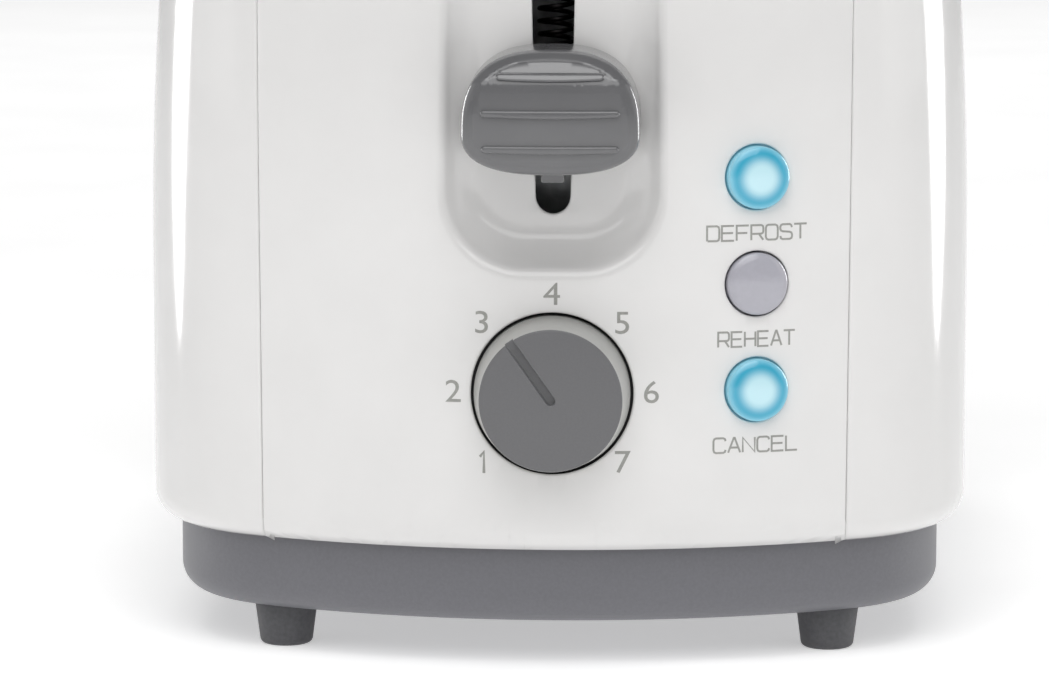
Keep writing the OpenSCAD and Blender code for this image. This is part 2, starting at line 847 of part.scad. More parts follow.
module control_board() {
    x0 = -bracket_hw;
    x1 = button_x + pcb_side;
    z0 = tab_z + 6;
    color("green") place() along_y(pcb_y, pcb_y + pcb_t) {
        translate([x0, z0]) square([x1 - x0, arm_z0 - z0 - 12]);
        translate([x1 - 26, z0]) square([26, button_zs[0] - z0 + 13]);
    }
}

module board_standoffs() {
    y1 = -chassis_y - sheet;
    x1 = button_x + pcb_side - 3.2;
    color("silver") place()
        for (p = [[12 - bracket_hw, tab_z + 9.3], [x1, tab_z + 9.3], [x1, button_zs[0] + 9]])
            translate([p[0], 0, p[1]]) rod_y(2.5, pcb_y + pcb_t, y1);
}

module button_switches() {
    color("black") place() for (z = button_zs)
        translate([button_x - 3, switch_y, z - 3]) cube([6, pcb_y - switch_y, 6]);
}

module indicator_lamps() {
    color("deepskyblue") place() for (z = button_zs)
        translate([button_x - 1, 0, z + 5.4]) rod_y(1.5, pcb_y - 2.5, pcb_y);
}

// Strip behind the panel with one guide tube for each button.
module button_holder() {
    y1 = flange_in + tube_l;
    low = button_zs[2] - tube_r - 1;
    high = button_zs[0] + tube_r + 1;
    color("darkgray") place() difference() {
        union() {
            for (z = button_zs)
                on_bow(button_a, z) rod_y(tube_r + tube_wall, flange_in + 0.3, y1);
            on_bow(button_a, 0) translate([-tube_r, y1 - tube_wall, low])
                cube([2 * tube_r, tube_wall, high - low]);
        }
        for (z = button_zs)
            on_bow(button_a, z) rod_y(tube_r, -1, 20);
    }
}

// Domed push button in the local frame of the bowed front.
module button(i) {
    front = button_proud[i];
    back = flange_in + flange_t;
    steps = 6;
    dome_r = (pow(cap_r, 2) + pow(dome_h, 2)) / (2 * dome_h);
    dome_a = asin(cap_r / dome_r);
    on_bow(button_a, button_zs[i]) rotate([90, 0, 0]) rotate_extrude() polygon(concat(
        [[0, -back - stub_l], [stub_r, -back - stub_l], [stub_r, -back], [flange_r, -back],
         [flange_r, -flange_in], [cap_r, -flange_in]],
        [for (k = [0:steps]) let (a = dome_a * (1 - k / steps))
            [dome_r * sin(a), front + dome_r * (cos(a) - cos(dome_a))]]));
}

module button_defrost() {
    color("skyblue") place() button(0);
}

module button_reheat() {
    color("silver") place() button(1);
}

module button_cancel() {
    color("skyblue") place() button(2);
}

module dial_seat() {
    color("black") place() translate([0, 0, dial_z]) difference() {
        rod_y(dial_hole_r + 1.6, seat_y, seat_y + seat_t);
        rod_y(shaft_r + 1, front_y, front_y + 20);
    }
}

module dial_pot() {
    color("dimgray") place() difference() {
        translate([-8, pcb_y - pot_deep, dial_z - 8]) cube([16, pot_deep, 16]);
        translate([0, 0, dial_z]) rod_y(shaft_r + shaft_gap, pcb_y - pot_deep - 1, pcb_y - 2);
    }
}

module dial_shaft() {
    color("silver") place() translate([0, 0, dial_z])
        rod_y(shaft_r, front_y - dial_proud + 3, pcb_y - 2.2);
}

// Round control knob with a pointer groove from its middle to its rim.
module dial_knob() {
    y0 = front_y - dial_proud;
    y1 = front_y + dial_back;
    h = y1 - y0;
    groove = 2;
    color("gray") place() translate([0, 0, dial_z]) difference() {
        translate([0, y1, 0]) rotate([90, 0, 0]) rotate_extrude() polygon(concat(
            [[0, 0], [dial_r, 0]],
            [for (a = [0:22.5:90]) [dial_front_r - dial_edge + dial_edge * cos(a),
                                    h - dial_edge + dial_edge * sin(a)]],
            [[0, h]]));
        rod_y(shaft_r + shaft_gap / 2, y0 + 3 - shaft_gap, y1 + 1);
        rotate([0, -pointer_a, 0]) translate([0, y0 - 1, -groove / 2]) cube([far, 2.4, groove]);
        rod_y(groove / 2, y0 - 1, y0 + 1.4);
    }
}

module terminal_block() {
    color("ivory") place() translate([-chassis_hw + 2, chassis_y + sheet, tab_z + 12]) cube([20, 14, 12]);
}

// Bushing where the supply cord would enter the rear panel.
module cord_gland() {
    y1 = body_l / 2;
    color("dimgray") place() translate([0, 0, gland_z]) difference() {
        union() {
            rod_y(gland_r, y1 - wall - 3, y1 + 2);
            rod_y(gland_flange_r, y1 + 0.05, y1 + 2);
            rod_y(gland_flange_r, y1 - wall - 3, y1 - wall - 0.5);
        }
        rod_y(gland_bore_r, y1 - 20, y1 + 20);
    }
}

front_panel();
rear_panel();
side_shell_left();
side_shell_right();
top_cover();
slot_liner_left();
slot_liner_right();
base_tray();
feet();
foot_screws();
shell_screws();
crumb_tray();
chassis_front();
chassis_rear();
reflector_left();
reflector_right();
centre_divider();
board_left_outer();
board_left_inner();
board_right_inner();
board_right_outer();
winding_left_outer();
winding_left_inner();
winding_right_inner();
winding_right_outer();
guide_left_outer();
guide_left_inner();
guide_right_inner();
guide_right_outer();
guide_posts();
carriage_bracket();
armature();
lifter_left();
lifter_right();
return_spring();
lever_knob();
magnet_core();
magnet_coil();
switch_block();
switch_blades();
control_board();
board_standoffs();
button_switches();
indicator_lamps();
button_holder();
button_defrost();
button_reheat();
button_cancel();
dial_seat();
dial_pot();
dial_shaft();
dial_knob();
terminal_block();
cord_gland();
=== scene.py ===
import math
from types import SimpleNamespace

import bmesh
import bpy
from mathutils import Matrix, Vector


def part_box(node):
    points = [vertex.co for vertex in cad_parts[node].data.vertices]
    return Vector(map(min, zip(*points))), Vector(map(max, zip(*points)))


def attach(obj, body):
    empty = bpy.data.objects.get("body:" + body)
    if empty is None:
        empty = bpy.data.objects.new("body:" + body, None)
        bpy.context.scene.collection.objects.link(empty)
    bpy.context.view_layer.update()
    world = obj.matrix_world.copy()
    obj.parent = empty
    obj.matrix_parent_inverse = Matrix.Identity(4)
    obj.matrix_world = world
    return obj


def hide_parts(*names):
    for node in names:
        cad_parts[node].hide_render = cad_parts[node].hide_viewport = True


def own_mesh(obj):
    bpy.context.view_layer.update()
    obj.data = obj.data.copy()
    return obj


bl_info = {
    "name": "Two-slice pop-up toaster",
    "version": (1, 0, 0),
    "blender": (4, 5, 0),
    "location": "View3D > Sidebar > Toaster",
    "description": "Builds a pop-up toaster's visible pieces round its mechanical model",
    "category": "Object",
}

MM = 1000.0
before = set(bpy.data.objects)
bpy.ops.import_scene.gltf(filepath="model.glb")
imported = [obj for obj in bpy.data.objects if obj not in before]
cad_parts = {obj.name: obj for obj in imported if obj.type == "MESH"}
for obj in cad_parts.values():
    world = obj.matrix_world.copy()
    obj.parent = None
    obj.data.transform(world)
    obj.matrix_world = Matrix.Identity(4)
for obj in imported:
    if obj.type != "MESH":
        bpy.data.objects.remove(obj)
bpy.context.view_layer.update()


# ---------------------------------------------------------------- sizes

def length(name, description, millimetres):
    """A size that the user can change, kept in metres."""
    return bpy.props.FloatProperty(name=name, description=description, default=millimetres / MM,
                                   unit="LENGTH", subtype="DISTANCE", precision=5)


def colour(name, description, code):
    """A colour that the user can change, kept linear."""
    return bpy.props.FloatVectorProperty(name=name, description=description, size=3, min=0.0,
                                         max=1.0, subtype="COLOR", default=linear(code)[:3])


def linear(code):
    """Turns an sRGB hex colour into a linear colour with full opacity."""
    parts = [int(code[i:i + 2], 16) / 255 for i in (0, 2, 4)]
    return tuple(c / 12.92 if c <= 0.04045 else ((c + 0.055) / 1.055) ** 2.4
                 for c in parts) + (1.0,)


def box_mm(node):
    """Lowest and highest corner of a CAD node, in millimetres."""
    low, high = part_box(node)
    return low * MM, high * MM


PANEL_BOX = box_mm("front_panel")
REAR_BOX = box_mm("rear_panel")
SIDE_BOX = box_mm("side_shell_right")
LID_BOX = box_mm("top_cover")
KNOB_BOX = box_mm("lever_knob")
DIAL_BOX = box_mm("dial_knob")
BASE_BOX = box_mm("base_tray")
MID_Y = (PANEL_BOX[0].y + REAR_BOX[1].y) / 2


class HousingSizes(bpy.types.PropertyGroup):
    """Sizes of the moulded housing and the base"""
    half_w: length("Half width", "Half the width across the long sides", SIDE_BOX[1].x)
    half_l: length("Half length", "Half the length over the two bowed ends",
                   (REAR_BOX[1].y - PANEL_BOX[0].y) / 2)
    top_z: length("Top", "Height of the level top", LID_BOX[1].z)
    skirt_z: length("Skirt", "Height of the lower edge of the housing", 25.2)
    wall: length("Wall", "Thickness of the moulded shells", 2.4)
    bow_r: length("Bow", "Radius of the bowed ends in plan", 148)
    corner_r: length("Corner", "Radius of the upright corners in plan", 38.5)
    edge_r: length("Lower edge", "Radius of the rounded lower edge", 6.5)
    belly_z: length("Belly", "Height where the walls start to lean in", 85)
    lean_r: length("Lean", "Radius of the gentle lean of the walls", 760)
    shoulder_r: length("Shoulder", "Radius of the top shoulder", 24)
    wing_w: length("Wing", "Width of a side shell seen from the end", 26.6)
    flare: length("Flare", "How much the end panel widens upwards, each side", 1.2)
    seam_gap: length("Seam gap", "Open gap along the upright seams", 0.06)
    lid_gap: length("Lid gap", "Open gap round the lid", 0.3)
    base_in: length("Base step", "Step in from the housing to the base", 5.8)
    base_z: length("Base height", "Height of the underside of the base", BASE_BOX[0].z)
    base_top: length("Base top", "Height of the hidden upper edge of the base", 31.2)
    base_r: length("Base edge", "Radius of the rounded edge under the base", 6)
    base_t: length("Base wall", "Thickness of the base", 2.5)
    foot_r: length("Foot", "Largest radius of a foot", 6.7)
    foot_x: length("Foot place across", "Distance of the feet from the middle, across", 58.2)
    foot_y: length("Foot place along", "Distance of the feet from the middle, along", 108)


class ControlSizes(bpy.types.PropertyGroup):
    """Sizes of the scoop, the lever, the dial and the buttons"""
    scoop_w: length("Scoop width", "Width of the scoop behind the lever", 46)
    scoop_d: length("Scoop depth", "Depth of the scoop", 7)
    scoop_z: length("Scoop bottom", "Height of the bottom of the scoop", 85)
    scoop_r: length("Scoop corner", "Radius of the lower corners of the scoop", 17)
    slot_w: length("Slot width", "Width of the lever slot at its lower end", 7.6)
    slot_top_w: length("Slot top width", "Width of the lever slot at its upper end", 10)
    slot_z: length("Slot bottom", "Height of the bottom of the lever slot", 96.3)
    slot_top: length("Slot top", "Height of the middle of the slot's upper end", 159.5)
    knob_hw: length("Knob half width", "Half the width of the lever knob", 18.3)
    knob_up: length("Knob rise", "Height of the lever knob above its widest line", 16.8)
    knob_down: length("Knob drop", "Depth of the lever knob below its widest line", 8.6)
    dial_z: length("Dial height", "Height of the dial axis", 59.4)
    dial_hole_r: length("Dial opening", "Radius of the dial opening", 17)
    dial_r: length("Dial", "Radius of the dial at its back", 16.3)
    button_x: length("Buttons", "Distance of the buttons from the middle", 42.5)
    button_z: length("Lowest button", "Height of the lowest button", 59.6)
    button_pitch: length("Button pitch", "Distance between the buttons", 22.3)
    button_hole_r: length("Button opening", "Radius of a button opening", 6.9)
    button_r: length("Button", "Radius of a button", 6.5)


class Colours(bpy.types.PropertyGroup):
    """Colours of the moulded parts"""
    white: colour("Housing", "Glossy white of the housing", "E7E6E5")
    base: colour("Base", "Dark grey of the base", "6F6F74")
    knob: colour("Lever", "Grey of the lever knob", "676769")
    dial: colour("Dial", "Grey of the dial", "6B6B6D")
    lit: colour("Lit button", "Blue of a lit button", "38B8DC")
    unlit: colour("Unlit button", "Grey of the unlit button", "B0AFB8")


def shape():
    """All sizes in millimetres, with what follows from them, round the housing's own middle."""
    scene = bpy.context.scene
    h = SimpleNamespace()
    for group in (scene.toaster_housing, scene.toaster_controls):
        for key in group.__annotations__:
            setattr(h, key, getattr(group, key) * MM)
    h.front_y = -h.half_l
    h.bow_cy = h.front_y + h.bow_r
    h.corner_x = h.half_w - h.corner_r
    h.corner_y = h.bow_cy - math.sqrt((h.bow_r - h.corner_r) ** 2 - h.corner_x ** 2)
    h.bow_a = math.asin(h.corner_x / (h.bow_r - h.corner_r))
    h.shoulder_z = h.top_z - h.shoulder_r
    h.lean_a = math.asin((h.shoulder_z - h.belly_z) / (h.lean_r - h.shoulder_r))
    h.shoulder_in = h.lean_r - (h.lean_r - h.shoulder_r) * math.cos(h.lean_a)
    h.seam_z = h.shoulder_z + h.shoulder_r * math.sin(h.lean_a)
    h.edge_z = h.skirt_z + h.edge_r
    return h


def wall_in(h, z):
    """How far the skin stands in from the housing's outline at a height."""
    if z < h.edge_z:
        return h.edge_r - math.sqrt(max(h.edge_r ** 2 - (h.edge_z - z) ** 2, 0.0))
    if z < h.belly_z:
        return 0.0
    if z < h.seam_z:
        return h.lean_r - math.sqrt(h.lean_r ** 2 - (z - h.belly_z) ** 2)
    return h.shoulder_in - math.sqrt(max(h.shoulder_r ** 2 - (z - h.shoulder_z) ** 2, 0.0))


def spread(start, end, steps):
    """Evenly spaced values from start to end, both included."""
    return [start + (end - start) * i / steps for i in range(steps + 1)]


def rounded(radius, steps=4):
    """A rounded edge as (distance from the edge, depth below the skin), from the edge inwards."""
    return [(radius * (1 - math.cos(a)), radius * (1 - math.sin(a)))
            for a in spread(0.0, math.pi / 2, steps)]


# ---------------------------------------------------------------- mesh making

def chain(bm, points, closed=False):
    """Vertices at the points, joined in a row."""
    verts = [bm.verts.new(p) for p in points]
    pairs = list(zip(verts, verts[1:])) + ([(verts[-1], verts[0])] if closed else [])
    return verts, [bm.edges.new(pair) for pair in pairs]


def loft(bm, rows, closed=False):
    """Extrudes a row of vertices through each next row of points; gives the first and last edges."""
    verts, edges = chain(bm, rows[0], closed)
    first = edges
    for row in rows[1:]:
        made = bmesh.ops.extrude_edge_only(bm, edges=edges)["geom"]
        fresh = {v for v in made if isinstance(v, bmesh.types.BMVert)}
        follows = {}
        for v in fresh:
            for e in v.link_edges:
                if e.other_vert(v) not in fresh:
                    follows[e.other_vert(v)] = v
        verts = [follows[v] for v in verts]
        for v, p in zip(verts, row):
            v.co = p
        ends = set(verts)
        edges = [e for e in made if isinstance(e, bmesh.types.BMEdge)
                 and e.verts[0] in ends and e.verts[1] in ends]
    return first, edges


def everything(bm):
    return bm.verts[:] + bm.edges[:] + bm.faces[:]


def cut(bm, place, normal, clear=False):
    """Cuts along a plane, and drops what lies on the normal's side if asked."""
    bmesh.ops.bisect_plane(bm, geom=everything(bm), dist=1e-4, plane_co=place,
                           plane_no=normal, clear_outer=clear)


def weld(bm, gap=1e-3):
    bmesh.ops.remove_doubles(bm, verts=bm.verts, dist=gap)


def turned(profile, steps=96):
    """Turns (radius, height) points full circle about Z."""
    bm = bmesh.new()
    verts, edges = chain(bm, [(r, 0.0, z) for r, z in profile])
    bmesh.ops.spin(bm, geom=verts + edges, cent=(0, 0, 0), axis=(0, 0, 1),
                   angle=2 * math.pi, steps=steps, use_merge=True)
    weld(bm)
    bmesh.ops.recalc_face_normals(bm, faces=bm.faces)
    return bm


def place_in_front(bm, x, y, z):
    """Stands a piece turned about Z up, so that it faces -Y."""
    bm.transform(Matrix.Translation((x, y, z)) @ Matrix.Rotation(math.pi / 2, 4, "X"))


def face_out(bm, test):
    """Turns all faces over if the one picked by the test looks the wrong way."""
    bm.normal_update()
    if not test(bm):
        bmesh.ops.reverse_faces(bm, faces=bm.faces)


def to_object(bm, name, finish, body, nodes=(), smooth=True, sharp=35.0):
    """Makes a piece of a mesh in housing millimetres, and ties it to its body."""
    bm.transform(Matrix.Translation((0, MID_Y / MM, 0)) @ Matrix.Scale(1 / MM, 4))
    mesh = bpy.data.meshes.new(name)
    bm.to_mesh(mesh)
    bm.free()
    piece = bpy.data.objects.new(name, mesh)
    bpy.context.scene.collection.objects.link(piece)
    mesh.materials.append(finish)
    if smooth:
        mesh.shade_smooth()
        mesh.set_sharp_from_angle(angle=math.radians(sharp))
    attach(piece, body)
    if nodes:
        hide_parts(*nodes)
    return piece


def thicken(piece, millimetres):
    """Gives a skin its wall, inwards from the outer face."""
    wall = piece.modifiers.new("Wall", "SOLIDIFY")
    wall.thickness = millimetres / MM
    wall.offset = -1.0
    wall.use_rim = True


# ---------------------------------------------------------------- finishes

def node(tree, kind, settings=(), links=()):
    """Adds one node, sets its sockets and properties, and links its inputs."""
    made = tree.nodes.new(kind)
    for key, value in dict(settings).items():
        if key in made.inputs:
            made.inputs[key].default_value = value
        else:
            setattr(made, key, value)
    for key, source in dict(links).items():
        tree.links.new(source, made.inputs[key])
    return made


def finish(name, dark, light, rough, size_mm, bump_mm=0.0, stretch=(1, 1, 1), detail=3.0,
           kind="ShaderNodeTexNoise", **sockets):
    """One material: two close colours and a range of roughness over a pattern of a real size."""
    made = bpy.data.materials.new(name)
    made.use_nodes = True
    tree = made.node_tree
    tree.nodes.clear()
    where = node(tree, "ShaderNodeTexCoord")
    placed = node(tree, "ShaderNodeMapping", {"Scale": stretch},
                  {"Vector": where.outputs["Object"]})
    pattern = {"Scale": MM / size_mm}
    if kind == "ShaderNodeTexNoise":
        pattern["Detail"] = detail
    grain = node(tree, kind, pattern, {"Vector": placed.outputs["Vector"]})
    value = grain.outputs[0]
    tint = node(tree, "ShaderNodeValToRGB", {}, {"Fac": value})
    for element, place, tone in zip(tint.color_ramp.elements, (0.3, 0.7), (dark, light)):
        element.position = place
        element.color = linear(tone) if isinstance(tone, str) else tone
    gloss = node(tree, "ShaderNodeMapRange", {"To Min": rough[0], "To Max": rough[1]},
                 {"Value": value})
    links = {"Base Color": tint.outputs["Color"], "Roughness": gloss.outputs["Result"]}
    if bump_mm:
        relief = node(tree, "ShaderNodeBump", {"Distance": bump_mm / MM, "Strength": 1.0},
                      {"Height": value})
        links["Normal"] = relief.outputs["Normal"]
    shader = node(tree, "ShaderNodeBsdfPrincipled", sockets, links)
    node(tree, "ShaderNodeOutputMaterial", {}, {"Surface": shader.outputs["BSDF"]})
    return made


def shades(tone, spread_by=0.03):
    """A darker and a lighter neighbour of a linear colour."""
    return [tuple(min(1.0, c * f) for c in tone) + (1.0,) for f in (1 - spread_by, 1 + spread_by)]


def lit_finish(name, centre, radius, rim, ring, middle, strength):
    """Clear button cap with a lamp behind it: a pale middle that turns to a deeper ring."""
    made = bpy.data.materials.new(name)
    made.use_nodes = True
    tree = made.node_tree
    tree.nodes.clear()
    where = node(tree, "ShaderNodeTexCoord")
    placed = node(tree, "ShaderNodeMapping",
                  {"vector_type": "POINT", "Location": tuple(-c / radius for c in centre),
                   "Scale": (1 / radius,) * 3}, {"Vector": where.outputs["Object"]})
    ball = node(tree, "ShaderNodeTexGradient", {"gradient_type": "SPHERICAL"},
                {"Vector": placed.outputs["Vector"]})
    ramp = node(tree, "ShaderNodeValToRGB", {}, {"Fac": ball.outputs["Fac"]})
    ramp.color_ramp.interpolation = "EASE"
    ramp.color_ramp.elements[0].position = 0.02
    ramp.color_ramp.elements[0].color = linear(rim)
    ramp.color_ramp.elements[1].position = 0.28
    ramp.color_ramp.elements[1].color = linear(ring)
    last = ramp.color_ramp.elements.new(0.68)
    last.color = linear(middle)
    haze = node(tree, "ShaderNodeTexNoise", {"Scale": MM / 0.8, "Detail": 2.0},
                {"Vector": where.outputs["Object"]})
    gloss = node(tree, "ShaderNodeMapRange", {"To Min": 0.12, "To Max": 0.2},
                 {"Value": haze.outputs[0]})
    shader = node(tree, "ShaderNodeBsdfPrincipled",
                  {"Emission Strength": strength, "Coat Weight": 0.5, "Coat Roughness": 0.08},
                  {"Base Color": ramp.outputs["Color"], "Emission Color": ramp.outputs["Color"],
                   "Roughness": gloss.outputs["Result"]})
    node(tree, "ShaderNodeOutputMaterial", {}, {"Surface": shader.outputs["BSDF"]})
    return made


FINISHES = {}


def make_finishes():
    """Every finish by the name the pieces use."""
    c = bpy.context.scene.toaster_colours
    white = shades(c.white, 0.012)
    base = shades(c.base, 0.05)
    knob = shades(c.knob, 0.03)
    dial = shades(c.dial, 0.035)
    made = {
        # Gloss-moulded ABS: an even milk white with a mirror-like skin that is never quite flat.
        "white": finish("abs_gloss_white", *white, (0.10, 0.16), 14.0, 0.010, IOR=1.5,
                        **{"Coat Weight": 0.3, "Coat Roughness": 0.05}),
        # Satin polypropylene from a lightly etched mould: soft wide highlights.
        "base": finish("polypropylene_satin_grey", *base, (0.36, 0.48), 0.7, 0.012, IOR=1.49),
        # Polished ABS of the lever: darker grey that mirrors the lights above it.
        "knob": finish("abs_polished_grey", *knob, (0.17, 0.23), 9.0, 0.004, IOR=1.5,
                       **{"Coat Weight": 0.6, "Coat Roughness": 0.12}),
        # Fine-etched ABS of the dial: even matt face.
        "dial": finish("abs_etched_grey", *dial, (0.30, 0.40), 0.5, 0.008, IOR=1.5),
        # Semi-gloss ABS of the dial's sloping side, coloured paler than the face: a painted highlight
        # for the light the side catches.
        "dial_side_painted_highlight": finish("abs_grey_painted_side_highlight", "B2B2AF", "B8B8B5", (0.28, 0.34), 1.5,
                            0.0006, IOR=1.5),
        # Moulded rubber of the feet: dull, with a faint grain.
        "rubber": finish("rubber_moulded_grey", "4C4C4F", "58585B", (0.55, 0.7), 0.9, 0.02,
                         IOR=1.52),
        # Pad-printed ink: thin, slightly uneven grey.
        "ink": finish("ink_pad_printed_grey", "979793", "A3A39E", (0.45, 0.6), 0.6, IOR=1.5),
        # Unlit clear-grey polycarbonate cap.
        "unlit": finish("polycarbonate_frosted_grey", *shades(c.unlit, 0.02), (0.16, 0.26), 1.2,
                        0.004, IOR=1.585, **{"Coat Weight": 0.5, "Coat Roughness": 0.06}),
        # Brushed stainless steel: long fine lines along the slots.
        "brushed": finish("stainless_brushed", "B4B3B0", "CCCBC8", (0.22, 0.36), 0.5, 0.004,
                          (1, 0.02, 1), Metallic=1.0),
        # Zinc-plated sheet: faint cloudy spangle of a few millimetres.
        "zinc": finish("sheet_steel_zinc_plated", "9A9C9E", "BFC1C2", (0.28, 0.46), 4.0, 0.006,
                       kind="ShaderNodeTexVoronoi", Metallic=1.0),
        # Bright aluminised reflector sheet, rolled lengthwise.
        "reflector": finish("aluminised_sheet_rolled", "B9BABA", "D6D7D6", (0.2, 0.34), 0.8,
                            0.004, (1, 0.05, 1), Metallic=1.0),
        # Mill-finish aluminium of the crumb tray.
        "tray": finish("aluminium_mill_finish", "B6B7B8", "CDCECF", (0.26, 0.4), 0.6, 0.004,
                       (0.04, 1, 1), Metallic=1.0),
        # Mica laminate: pale tan flakes with a pearly glint.
        "mica": finish("mica_laminate", "A8977A", "CDBE9F", (0.3, 0.5), 2.2, 0.03,
                       kind="ShaderNodeTexVoronoi", IOR=1.58,
                       **{"Sheen Weight": 0.25, "Sheen Roughness": 0.4}),
        # Nichrome ribbon: dull brown-grey from heat.
        "nichrome": finish("nichrome_oxidised", "4E4540", "6F625A", (0.4, 0.55), 3.0, 0.004,
                           (1, 0.2, 1), Metallic=1.0),
        # Chromed wire of the bread guides.
        "chrome": finish("steel_wire_chromed", "C2C4C6", "DADCDD", (0.07, 0.16), 2.5, 0.003,
                         Metallic=1.0),
        # Oxide-dark laminated iron of the magnet.
        "iron": finish("iron_laminated_oxide", "34343A", "4C4C52", (0.4, 0.6), 0.5, 0.02,
                       (1, 1, 0.05), Metallic=1.0),
        # Enamelled copper winding: fine turns seen as lines.
        "copper": finish("copper_wire_enamelled", "8E4A26", "C9743F", (0.22, 0.36), 0.4, 0.05,
                         (0.05, 1, 1), Metallic=1.0),
        # Glass-epoxy circuit board under green solder mask.
        "board": finish("glass_epoxy_solder_mask", "1C4B2B", "29663B", (0.25, 0.4), 1.6, 0.01,
                        IOR=1.55),
        # Ivory heat-resistant phenolic of the terminal parts.
        "ivory": finish("phenolic_ivory", "C9C0A6", "DDD5BE", (0.35, 0.5), 1.8, 0.01, IOR=1.6),
        # Half-hard brass strip of the contact blades.
        "brass": finish("brass_strip_rolled", "A98443", "C9A25A", (0.2, 0.34), 0.7, 0.004,
                        (0.06, 1, 1), Metallic=1.0),
        # Black moulded nylon of the hidden holders and the gland.
        "black": finish("nylon_moulded_black", "151517", "202023", (0.4, 0.55), 0.8, 0.012,
                        IOR=1.53),
        # Nickel-plated screw steel.
        "screw": finish("steel_nickel_plated", "8F9092", "B1B2B4", (0.22, 0.38), 1.0, 0.004,
                        Metallic=1.0),
        # Spring steel wire coloured near-black: painted shade of the dark inside of the housing.
        "spring": finish("spring_steel_painted_shade", "1E1C1C", "2C2A2A", (0.34, 0.46), 0.6, 0.003,
                         Metallic=1.0),
        # Blue lens of the small lamps on the board.
        "lamp": finish("polycarbonate_clear_blue", "2F8FC4", "59B4E2", (0.1, 0.2), 1.0, 0.004,
                       IOR=1.585),
    }
    FINISHES.update(made)


CAD_FINISHES = {
    "slot_liner_left": "brushed", "slot_liner_right": "brushed", "foot_screws": "screw",
    "shell_screws": "screw", "crumb_tray": "tray", "chassis_front": "zinc",
    "chassis_rear": "zinc", "reflector_left": "reflector", "reflector_right": "reflector",
    "centre_divider": "reflector", "board_left_outer": "mica", "board_left_inner": "mica",
    "board_right_inner": "mica", "board_right_outer": "mica", "winding_left_outer": "nichrome",
    "winding_left_inner": "nichrome", "winding_right_inner": "nichrome",
    "winding_right_outer": "nichrome", "guide_left_outer": "chrome",
    "guide_left_inner": "chrome", "guide_right_inner": "chrome", "guide_right_outer": "chrome",
    "guide_posts": "chrome", "carriage_bracket": "zinc", "armature": "iron",
    "lifter_left": "zinc", "lifter_right": "zinc", "magnet_core": "iron",
    "magnet_coil": "copper", "switch_block": "ivory", "switch_blades": "brass",
    "control_board": "board", "board_standoffs": "screw", "button_switches": "black",
    "indicator_lamps": "lamp", "button_holder": "black", "dial_seat": "black",
    "dial_pot": "black", "dial_shaft": "screw", "terminal_block": "ivory",
    "cord_gland": "black",
}


# ---------------------------------------------------------------- housing

def bow_point(h, angle, inward):
    """A point of the front bow, by its angle from the middle towards +X."""
    r = h.bow_r - inward
    return r * math.sin(angle), h.bow_cy - r * math.cos(angle)


def corner_point(h, angle, inward):
    r = h.corner_r - inward
    return h.corner_x + r * math.sin(angle), h.corner_y - r * math.cos(angle)


def seam_angle(h, z, inward, gap):
    """Angle of the upright seam on the bow; the gap is counted away from the middle."""
    x = h.half_w - h.wing_w + gap + h.flare * z / (h.top_z + 1)
    return math.asin(x / (h.bow_r - inward))


def outline_loop(h, inward):
    """The housing's outline, moved in by a distance, as one closed loop of (x, y)."""
    quarter = [bow_point(h, a, inward) for a in spread(0.0, h.bow_a, 14)]
    quarter += [corner_point(h, a, inward) for a in spread(h.bow_a, math.pi / 2, 18)[1:]]
    quarter += [(h.half_w - inward, y) for y in spread(h.corner_y, 0.0, 6)[1:]]
    half = quarter + [(x, -y) for x, y in reversed(quarter[:-1])]
    return half + [(-x, y) for x, y in reversed(half[1:-1])]


def wall_rows(h, top_round):
    """(height, depth below the skin) of the wall, from the lower rim to the lid seam."""
    rows = [(h.edge_z - h.edge_r * math.sin(a), 0.0) for a in spread(math.radians(70), 0.0, 9)]
    rows += [(z, 0.0) for z in spread(h.edge_z, h.belly_z, 4)[1:]]
    rows += [(z, 0.0) for z in spread(h.belly_z, h.seam_z - top_round, 10)[1:]]
    rows += [(h.seam_z - off, sink) for off, sink in reversed(rounded(top_round)[:-1])]
    return rows


def side_shell(h, side):
    """One long side with its two corners; its seam edges are rounded."""
    seam_round = 0.75
    rows = wall_rows(h, 0.5)
    columns = [lambda z, d, o=o, s=s: bow_point(
        h, seam_angle(h, z, d, h.seam_gap / 2) + o / h.bow_r, d + s)
        for o, s in rounded(seam_round, 5)]

    def between(z, d, f):
        start = seam_angle(h, z, d, h.seam_gap / 2) + seam_round / h.bow_r
        return bow_point(h, start + (h.bow_a - start) * f, d)

    columns += [lambda z, d, f=f: between(z, d, f) for f in spread(0.0, 1.0, 3)[1:]]
    columns += [lambda z, d, a=a: corner_point(h, a, d)
                for a in spread(h.bow_a, math.pi / 2, 26)[1:]]
    columns += [lambda z, d, y=y: (h.half_w - d, y) for y in spread(h.corner_y, 0.0, 6)[1:]]
    front = [[(*column(z, wall_in(h, z) + sink), z) for z, sink in rows] for column in columns]
    rear = [[(x, -y, z) for x, y, z in column] for column in reversed(front[:-1])]
    bm = bmesh.new()
    loft(bm, front + rear)
    if side < 0:
        bmesh.ops.scale(bm, vec=(-1, 1, 1), verts=bm.verts)
    face_out(bm, lambda b: max(b.faces, key=lambda f: abs(f.calc_center_median().x)).normal.x
             * side > 0)
    name = "side_shell_right" if side > 0 else "side_shell_left"
    piece = to_object(bm, name + "_skin", FINISHES["white"], "housing", (name,))
    thicken(piece, h.wall)


# Profile of the scoop's wall: a small rounded lip, then a wide hollow fillet.
LIP_START = -1.9
LIP_R = 3.2
WALL_A = math.radians(61)


